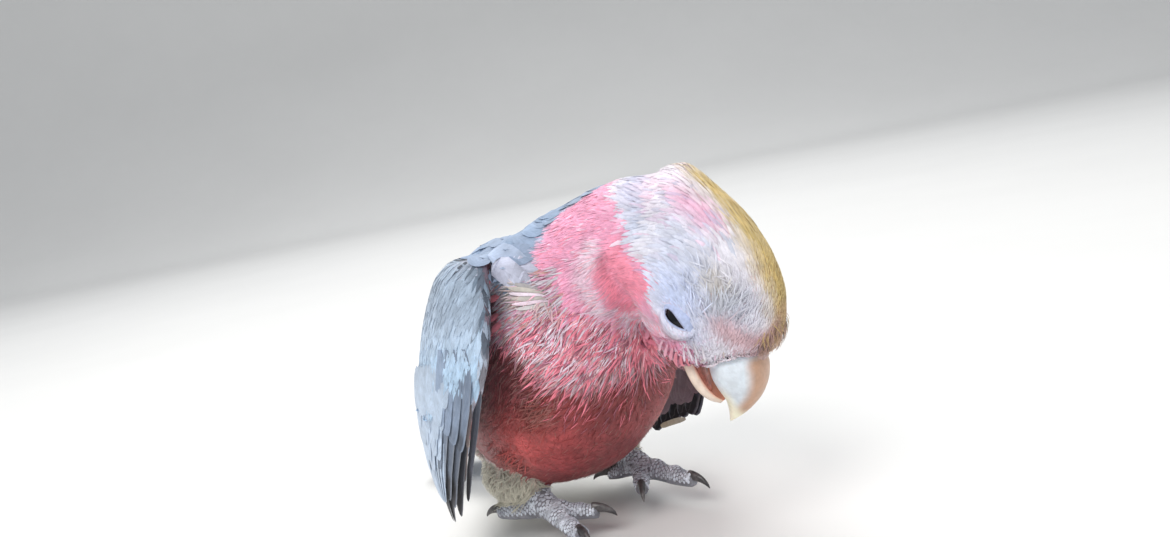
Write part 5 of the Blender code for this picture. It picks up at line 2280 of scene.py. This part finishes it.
@dataclass
class Eye:
    """An eyeball and its half-closed lids."""

    side: Side
    radius: float = 4.6
    slit_length: float = 6.2
    slit_height: float = 1.75
    slit_turn: float = math.radians(24)  # how far the slit's front end rises towards the crown
    edge: float = 4.1  # half length of the bare skin
    edge_height: float = 2.05  # its half height
    lift: float = 0.85  # how far its middle lies above the slit
    overlap: float = 0.7  # how far the lids run on beneath the feathers
    lid: float = 0.3  # thickness over the ball

    def local(self, head: Array) -> Array:
        """Places of the head's frame as rows of how far they lie along the slit, across it and outwards."""
        return ((head - BIRD.eye(self.side)) @ self.axes().T).T

    def margin(self, front: Array, up: Array) -> Array:
        """Distance from the middle of the bare skin, where 1 is its edge."""
        return np.hypot(front / self.edge, (up - self.lift) / self.edge_height)

    def axes(self) -> Array:
        """Along the slit to its front end, across it to the crown, and outwards, in the head's frame."""
        front = np.array((0, -math.cos(self.slit_turn), math.sin(self.slit_turn)))
        outward = unit(np.array((self.side.value, 0.16, -0.03)))
        front = unit(front - outward * front.dot(outward))
        up = unit(np.cross(outward, front)) * -self.side.value
        return np.array([front, up, outward])

    def build_ball(self) -> bpy.types.Object:
        """Makes the eyeball."""
        bm = bmesh.new()
        bmesh.ops.create_uvsphere(bm, u_segments=48, v_segments=32, radius=self.radius)
        mesh = bpy.data.meshes.new("eyeball")
        bm.to_mesh(mesh)
        bm.free()
        local = read_numbers(mesh.vertices, "co")
        rim = ramp(local[:, 2] / self.radius, 0.55, 0.72) * ramp(local[:, 2] / self.radius, 0.93, 0.86)
        points = BIRD.from_head(local @ self.axes() + BIRD.eye(self.side))
        place_vertices(mesh, points)
        store_colour(mesh, "tint", np.stack([rim, rim * 0, rim * 0, rim * 0], axis=1))
        made = new_object("eyeball_" + self.side.word, mesh)
        face_outwards(mesh)
        EyeFinish().put_on(made)
        return finished(made, "eye", "eye_" + self.side.word)

    def skin_height(self, skin: Skin, x: Array, y: Array) -> Array:
        """How far outwards the skin lies at places given along and across the slit."""
        height = np.full(len(x), self.radius)
        front, up, outward = self.axes()
        for _ in range(3):
            local = np.outer(x, front) + np.outer(y, up) + np.outer(height, outward)
            places = BIRD.from_head(local + BIRD.eye(self.side))
            point, _, _ = skin.under(places, 6)
            height = (BIRD.to_head(point) - BIRD.eye(self.side)) @ outward
        return height

    def build_lids(self, skin: Skin) -> bpy.types.Object:
        """Makes the lids, a thick skin over the ball with an almond opening, which runs out into the face."""
        around, rows = 96, 24  # points of a ring, and rings from the opening out
        angles = np.arange(around) * math.tau / around
        half_length, half_height = self.slit_length / 2, self.slit_height / 2
        open_x = half_length * np.cos(angles)
        open_y = half_height * np.sign(np.sin(angles)) * np.abs(np.sin(angles)) ** 1.25 * (1 - 0.4 * np.cos(angles))
        rings = []
        for t in np.linspace(0, 1, rows):
            x = open_x * (1 - t) + (self.edge + self.overlap) * np.cos(angles) * t
            y = open_y * (1 - t) + (self.lift + (self.edge_height + self.overlap) * np.sin(angles)) * t
            reach = np.hypot(x, y)
            ball = np.sqrt(np.maximum((self.radius + self.lid) ** 2 - reach**2, 0.0))
            skin_level = self.skin_height(skin, x, y) + self.lid * (1 - t)
            height = soft_max(ball, skin_level, 2.5) - 0.12
            rim = 0.1 * math.exp(-(((t - 0.06) / 0.07) ** 2))
            wrinkle = 0.05 * np.sin(t * 40 + 0.8 * np.sin(angles * 3)) * ramp(np.array([t]), 0.1, 0.25) * (1 - t)
            rings.append(np.stack([x, y, height + rim + wrinkle - 0.5 * t**3], axis=1))
        outer = rings[-1] - (0, 0, 0.9)
        inner = np.stack([rings[0][:, 0] * 1.2, rings[0][:, 1] * 1.4, rings[0][:, 2] - 0.55], axis=1)
        rings = np.array([inner, rings[0] - (0, 0, 0.25), *rings, outer])
        count = len(rings)
        quads = band_quads(count, around)
        here, last = np.arange(around), (count - 1) * around
        ahead = np.roll(here, -1)
        closing = np.stack([here + last, ahead + last, ahead, here], axis=-1)  # from the last ring to the first
        corners = np.concatenate([quads.ravel(), closing.ravel()])
        local = rings.reshape(-1, 3)
        points = BIRD.from_head(local @ self.axes() + BIRD.eye(self.side))
        name = "eyelids_" + self.side.word
        mesh = mesh_from_arrays(name, points, corners, np.full(len(quads) + around, 4))
        face_outwards(mesh)
        rim = np.repeat(ramp(np.arange(count), 6, 2), around)
        edge = np.outer(ramp(np.arange(count), count * 0.3, count * 0.7), ramp(-np.sin(angles), 0.1, 0.7)).ravel()
        store_colour(mesh, "tint", np.stack([rim, edge, rim * 0, rim * 0], axis=1))
        made = LidFinish().put_on(new_object(name, mesh))
        return finished(made, "bare_skin")


# ---------------------------------------------------------------------------------------------------------
# Feet
# ---------------------------------------------------------------------------------------------------------


CLAW_HORN = ScaleFinish("claw_horn", 0.28, low=(0.035, 0.032, 0.035), high=(0.13, 0.12, 0.12), fine=2600.0)


@dataclass(frozen=True)
class Toe:
    """A toe of the left foot: heading away from the median line, length without its claw, end radii."""

    name: str
    heading: float
    length: float
    root: float
    end: float

    def ahead(self) -> Array:
        """Its direction along the floor."""
        angle = math.radians(self.heading)
        return np.array((math.sin(angle), -math.cos(angle), 0))


@dataclass
class Foot:
    """Claws and scutes of one foot."""

    side: Side
    joint: tuple[float, float] = (17, -1)
    toes: tuple[Toe, ...] = (
        Toe("front_outer", 8, 21, 3.1, 2.3),
        Toe("front_inner", -38, 15, 2.9, 2.1),
        Toe("back_outer", 158, 17, 2.9, 2.1),
        Toe("back_inner", 214, 10.5, 2.6, 1.9),
    )
    claw_length: float = 7.5
    claw_radius: float = 1.5
    ankle: Place = (15.5, 7.5, 9.5)
    shank: float = 3.0  # radius of the skin between ankle and joint
    joint_height: float = 4.6
    row_step: float = 0.82  # from one row of scales to the next along a toe
    scale_length: float = 0.44
    scale_height: float = 0.36

    def scutes(self) -> tuple[Array, Array, Array, Array]:
        """Rows of scales over the toes and up the shank.

        Returns:
            Places, outward directions, directions across the toe, and sizes (across, along, height).
        """
        places, facing, across, sizes = [], [], [], []
        for toe in self.toes:
            ahead = toe.ahead()
            side = np.cross(ahead, (0, 0, 1))
            for row, run in enumerate(np.arange(1.5, toe.length - 0.4, self.row_step)):
                t = run / toe.length
                radius = (toe.root + (toe.end - toe.root) * t) * (1 + 0.13 * math.cos(6 * math.pi * t))
                centre = np.array((*self.joint, 0)) + ahead * run
                centre[2] = radius * 0.86 + 1.6 * (1 - t) ** 2
                turns = np.arange(-90, 91, 30) if row % 2 else np.arange(-75, 76, 30)
                for turn in turns:
                    out = np.array((0, 0, 1)) * math.cos(math.radians(turn)) + side * math.sin(math.radians(turn))
                    places.append(centre + out * radius)
                    facing.append(out)
                    across.append(np.cross(out, ahead))
                    sizes.append((0.25 * radius, self.scale_length, self.scale_height))
        root = np.array((*self.joint, self.joint_height))
        shank = np.array(self.ankle) - root
        ahead = unit(shank)
        side = unit(np.cross(ahead, (1, 0, 0)))
        for row, t in enumerate(np.arange(0.05, 1.0, 0.09)):
            for turn in np.arange(12) * 30 + 15 * (row % 2):
                out = np.cross(ahead, side) * math.cos(math.radians(turn)) + side * math.sin(math.radians(turn))
                places.append(root + shank * t + out * self.shank)
                facing.append(out)
                across.append(np.cross(out, ahead))
                sizes.append((0.25 * self.shank, 0.46, self.scale_height))
        mirror = np.array((self.side.value, 1, 1))
        return np.array(places) * mirror, np.array(facing) * mirror, np.array(across) * mirror, np.array(sizes)

    def build_claw(self, toe: Toe) -> bpy.types.Object:
        """Makes one curved claw."""
        ahead = toe.ahead()
        across = np.cross(ahead, (0, 0, 1))
        root = np.array((*self.joint, 0)) + ahead * (toe.length - 1.6)
        rings = []
        for t in np.linspace(0, 1, 22):
            radius = self.claw_radius * (1 - t) ** 0.75 + 0.1
            centre = root + ahead * self.claw_length * math.sin(t * 1.25) / 1.1
            centre[2] = toe.end + 0.9 * math.sin(math.pi * (0.25 + 0.55 * t)) - (toe.end + 0.5) * t**1.6 + 0.25
            upright = unit(np.array((0, 0, 1.0)) + ahead * 0.5 * t) * radius
            rings.append(section(centre + upright, centre - upright, across, radius * 0.8, 20, 2.0))
        rings = np.array(rings) * (self.side.value, 1, 1)
        rings[..., 2] = np.maximum(rings[..., 2], 0.03)
        name = f"claw_{self.side.word}_{toe.name}"
        made = tube("horn_" + name, rings)
        CLAW_HORN.put_on(made)
        return finished(made, "claw", name)


class ScuteField:
    """Scales over both feet, by Geometry Nodes: a plate on each point, turned to the skin and realized."""

    def __init__(self, skin: Skin, feet: list[Foot]) -> None:
        """Sets the scales of these feet on the skin."""
        self.skin, self.feet = skin, feet

    @staticmethod
    def plate() -> bpy.types.Object:
        """A low rounded scale of unit radius, of a few dozen faces."""
        around = np.arange(8) * math.tau / 8
        rings = [(1.0, -0.25), (0.86, 0.2), (0.5, 0.36)]
        points = [(r * math.cos(a), r * math.sin(a), z) for r, z in rings for a in around] + [(0, 0, 0.42)]
        faces = [tuple(range(8))[::-1]]
        for row in (0, 8):
            faces += [(row + k, row + (k + 1) % 8, row + 8 + (k + 1) % 8, row + 8 + k) for k in range(8)]
        faces += [(16 + k, 16 + (k + 1) % 8, 24) for k in range(8)]
        mesh = bpy.data.meshes.new("scute_plate")
        mesh.from_pydata(points, [], faces)
        mesh.shade_smooth()
        return new_object("scute_plate", mesh)

    def tree(self, plate: bpy.types.Object, material: bpy.types.Material) -> bpy.types.NodeTree:
        """The nodes that set a plate on every point.

        Args:
            plate: The scale.
            material: Its finish.

        Returns:
            A tree with an input named Size.
        """
        group = bpy.data.node_groups.new("scutes_on_points", "GeometryNodeTree")
        group.interface.new_socket("Geometry", in_out="INPUT", socket_type="NodeSocketGeometry")
        size = group.interface.new_socket("Size", in_out="INPUT", socket_type="NodeSocketFloat")
        size.default_value = 1.0
        group.interface.new_socket("Geometry", in_out="OUTPUT", socket_type="NodeSocketGeometry")
        nodes, link = group.nodes, group.links.new
        given, result = nodes.new("NodeGroupInput"), nodes.new("NodeGroupOutput")
        normal, way, scale = (nodes.new("GeometryNodeInputNamedAttribute") for _ in range(3))
        for node, name in ((normal, "facing"), (way, "way"), (scale, "size")):
            node.data_type = "FLOAT_VECTOR"
            node.inputs["Name"].default_value = name
        up = nodes.new("FunctionNodeAxesToRotation")
        up.primary_axis, up.secondary_axis = "Z", "X"
        link(normal.outputs[0], up.inputs[0])
        link(way.outputs[0], up.inputs[1])
        info = nodes.new("GeometryNodeObjectInfo")
        info.inputs["Object"].default_value = plate
        grown = nodes.new("ShaderNodeVectorMath")
        grown.operation = "SCALE"
        link(scale.outputs[0], grown.inputs[0])
        link(given.outputs["Size"], grown.inputs["Scale"])
        setting = nodes.new("GeometryNodeInstanceOnPoints")
        link(given.outputs["Geometry"], setting.inputs["Points"])
        link(info.outputs["Geometry"], setting.inputs["Instance"])
        link(up.outputs[0], setting.inputs["Rotation"])
        link(grown.outputs[0], setting.inputs["Scale"])
        realize, dress = nodes.new("GeometryNodeRealizeInstances"), nodes.new("GeometryNodeSetMaterial")
        dress.inputs["Material"].default_value = material
        link(setting.outputs[0], realize.inputs[0])
        link(realize.outputs[0], dress.inputs["Geometry"])
        link(dress.outputs[0], result.inputs[0])
        return group

    def build(self) -> bpy.types.Object:
        """Makes the scales of both feet as one piece."""
        tables = [np.concatenate(column) for column in zip(*(foot.scutes() for foot in self.feet))]
        guess, facing, across, sizes = tables
        places, normals, _ = self.skin.under(guess)
        near = (np.linalg.norm(places - guess, axis=1) < 2.2) & (places[:, 2] > 0.45)
        near &= dot(normals, facing)[:, 0] > 0.3
        on_foot = self.skin.parts[self.skin.nearest(places)] == Part.FOOT.value
        keep = np.nonzero(near & on_foot)[0]
        keep = keep[Coat.thinned(places[keep], 0.5)]
        rng = np.random.default_rng(9)
        points = bpy.data.meshes.new("scute_points")
        points.vertices.add(len(keep))
        points.vertices.foreach_set("co", (places[keep] * MM + OFFSET).astype(np.float32).ravel())
        store_vector(points, "facing", normals[keep])
        store_vector(points, "way", across[keep])
        chance = 1 + rng.uniform(-0.1, 0.1, (len(keep), 1))
        store_vector(points, "size", sizes[keep] * chance * MM)
        obj = new_object("toe_scutes", points)
        finish = ScaleFinish("scute_horn", roughness=0.42, low=(0.40, 0.42, 0.48), high=(0.70, 0.74, 0.82))
        plate = self.plate()
        modifier = obj.modifiers.new("scutes", "NODES")
        modifier.node_group = self.tree(plate, finish.material())
        size = next(item for item in modifier.node_group.interface.items_tree if item.name == "Size")
        modifier[size.identifier] = 1.0
        applied(obj)
        bpy.data.objects.remove(plate)
        obj.data.shade_smooth()
        finish.put_on(obj)
        return finished(obj, "scaly_skin")


# ---------------------------------------------------------------------------------------------------------
# Studio
# ---------------------------------------------------------------------------------------------------------


@dataclass
class Studio:
    """Floor, lights and camera."""

    azimuth: float = math.radians(-35)  # of the camera, from the bird's front towards its left
    pitch: float = math.radians(7)  # how far it looks down
    roll: float = math.radians(11)
    camera_place: Place = (-136.57, -212.10, 96.85)
    lens: float = 28.0
    sensor: float = 36.0
    near_clip: float = 0.005

    def build(self) -> None:
        """Makes the studio."""
        self.floor()
        self.lights()
        self.camera()

    @staticmethod
    def floor() -> None:
        """A floor that sweeps up far behind the bird, in metres."""
        line = smooth_curve(((-2.5, 0.0), (1.6, 0.0), (2.4, 0.08), (3.0, 0.5), (3.2, 1.4), (3.25, 3.0)), 10)
        ahead = Vector((math.sin(math.radians(35)), math.cos(math.radians(35)), 0))
        across = Vector((ahead.y, -ahead.x, 0))
        bm = bmesh.new()
        strips = []
        for away, height in line:
            middle = ahead * away + Vector((0, 0, height - 0.0002))
            strips.append([bm.verts.new(middle + across * x) for x in (-6, 6)])
        for near, far in zip(strips, strips[1:]):
            bm.faces.new((near[0], near[1], far[1], far[0]))
        mesh = bpy.data.meshes.new("floor")
        bm.to_mesh(mesh)
        bm.free()
        mesh.shade_smooth()
        FloorFinish().put_on(new_object("floor", mesh))

    @staticmethod
    def lights() -> None:
        """A large soft key from the viewer's upper left, a weaker fill and an even sky."""
        target = Vector(BIRD.to_world(np.array((0, -20, 45))))
        # Name, place in metres, size, power and colour.
        setups = (
            ("key", (-0.62, -0.32, 0.78), 0.5, 5.0, (1.0, 0.98, 0.95)),
            ("fill", (0.35, -0.85, 0.45), 0.8, 0.8, (0.95, 0.97, 1.0)),
            ("top", (0.15, 0.35, 0.9), 0.7, 1.8, (1.0, 0.97, 0.92)),
            ("backdrop", (0.6, 1.1, 1.9), 1.6, 26.0, (1.0, 1.0, 1.0)),
        )
        for name, place, size, power, colour in setups:
            light = bpy.data.lights.new(name, "AREA")
            light.shape = "DISK"
            light.size = size
            light.energy = power
            light.color = colour
            lamp = bpy.data.objects.new(name, light)
            bpy.context.scene.collection.objects.link(lamp)
            lamp.location = Vector(place)
            lamp.rotation_euler = (target - lamp.location).to_track_quat("-Z", "Y").to_euler()
        world = bpy.data.worlds.new("studio")
        world.use_nodes = True
        sky = world.node_tree.nodes["Background"]
        sky.inputs["Color"].default_value = (0.95, 0.97, 1.0, 1)
        sky.inputs["Strength"].default_value = 0.58
        bpy.context.scene.world = world

    def camera(self) -> None:
        """The camera, at the bird's right and a little above its back, rolled clockwise."""
        back = np.array((
            math.sin(self.azimuth) * math.cos(self.pitch),
            -math.cos(self.azimuth) * math.cos(self.pitch),
            math.sin(self.pitch),
        ))
        right = np.array((math.cos(self.azimuth), math.sin(self.azimuth), 0))
        up = np.cross(back, right)
        across = math.cos(self.roll) * right - math.sin(self.roll) * up
        rise = math.sin(self.roll) * right + math.cos(self.roll) * up
        matrix = Matrix(np.array((across, rise, back)).T.tolist()).to_4x4()
        matrix.translation = Vector(BIRD.to_world(np.array(self.camera_place)))
        data = bpy.data.cameras.new("camera")
        data.lens = self.lens
        data.sensor_width = self.sensor
        data.clip_start = self.near_clip
        camera = bpy.data.objects.new("camera", data)
        bpy.context.scene.collection.objects.link(camera)
        camera.matrix_world = matrix
        bpy.context.scene.camera = camera


def main() -> None:
    """Builds the bird and its studio."""
    logging.basicConfig(level=logging.INFO, format="%(name)s %(relativeCreated)d %(message)s", stream=sys.stdout)
    bpy.context.scene.view_settings.view_transform = "Standard"
    skin = Skin()
    skin.build()
    LOG.info("skin: %d vertices", len(skin.points))
    coat = Coat(skin)
    for name, tracts in TRACTS.items():
        meshes = [coat.grow(tract) for tract in tracts]
        finished(joined(name, meshes, FINISHES[name]), SLOTS.get(name, "pale_plumage"))
    for side in Side:
        Wing(side, spread=1.0 if side is Side.LEFT else 0.0).build(skin, coat.rng)
    Tail().build(skin, coat.rng)
    Plumage(skin).build(coat.rng)
    bill = Bill()
    bill.build_upper()
    bill.build_lower()
    bill.build_tongue()
    Cere().build()
    feet = [Foot(side) for side in Side]
    for side, foot in zip(Side, feet):
        eye = Eye(side)
        eye.build_ball()
        eye.build_lids(skin)
        for toe in foot.toes:
            foot.build_claw(toe)
    ScuteField(skin, feet).build()
    Studio().build()


if __name__ == "__main__":
    main()
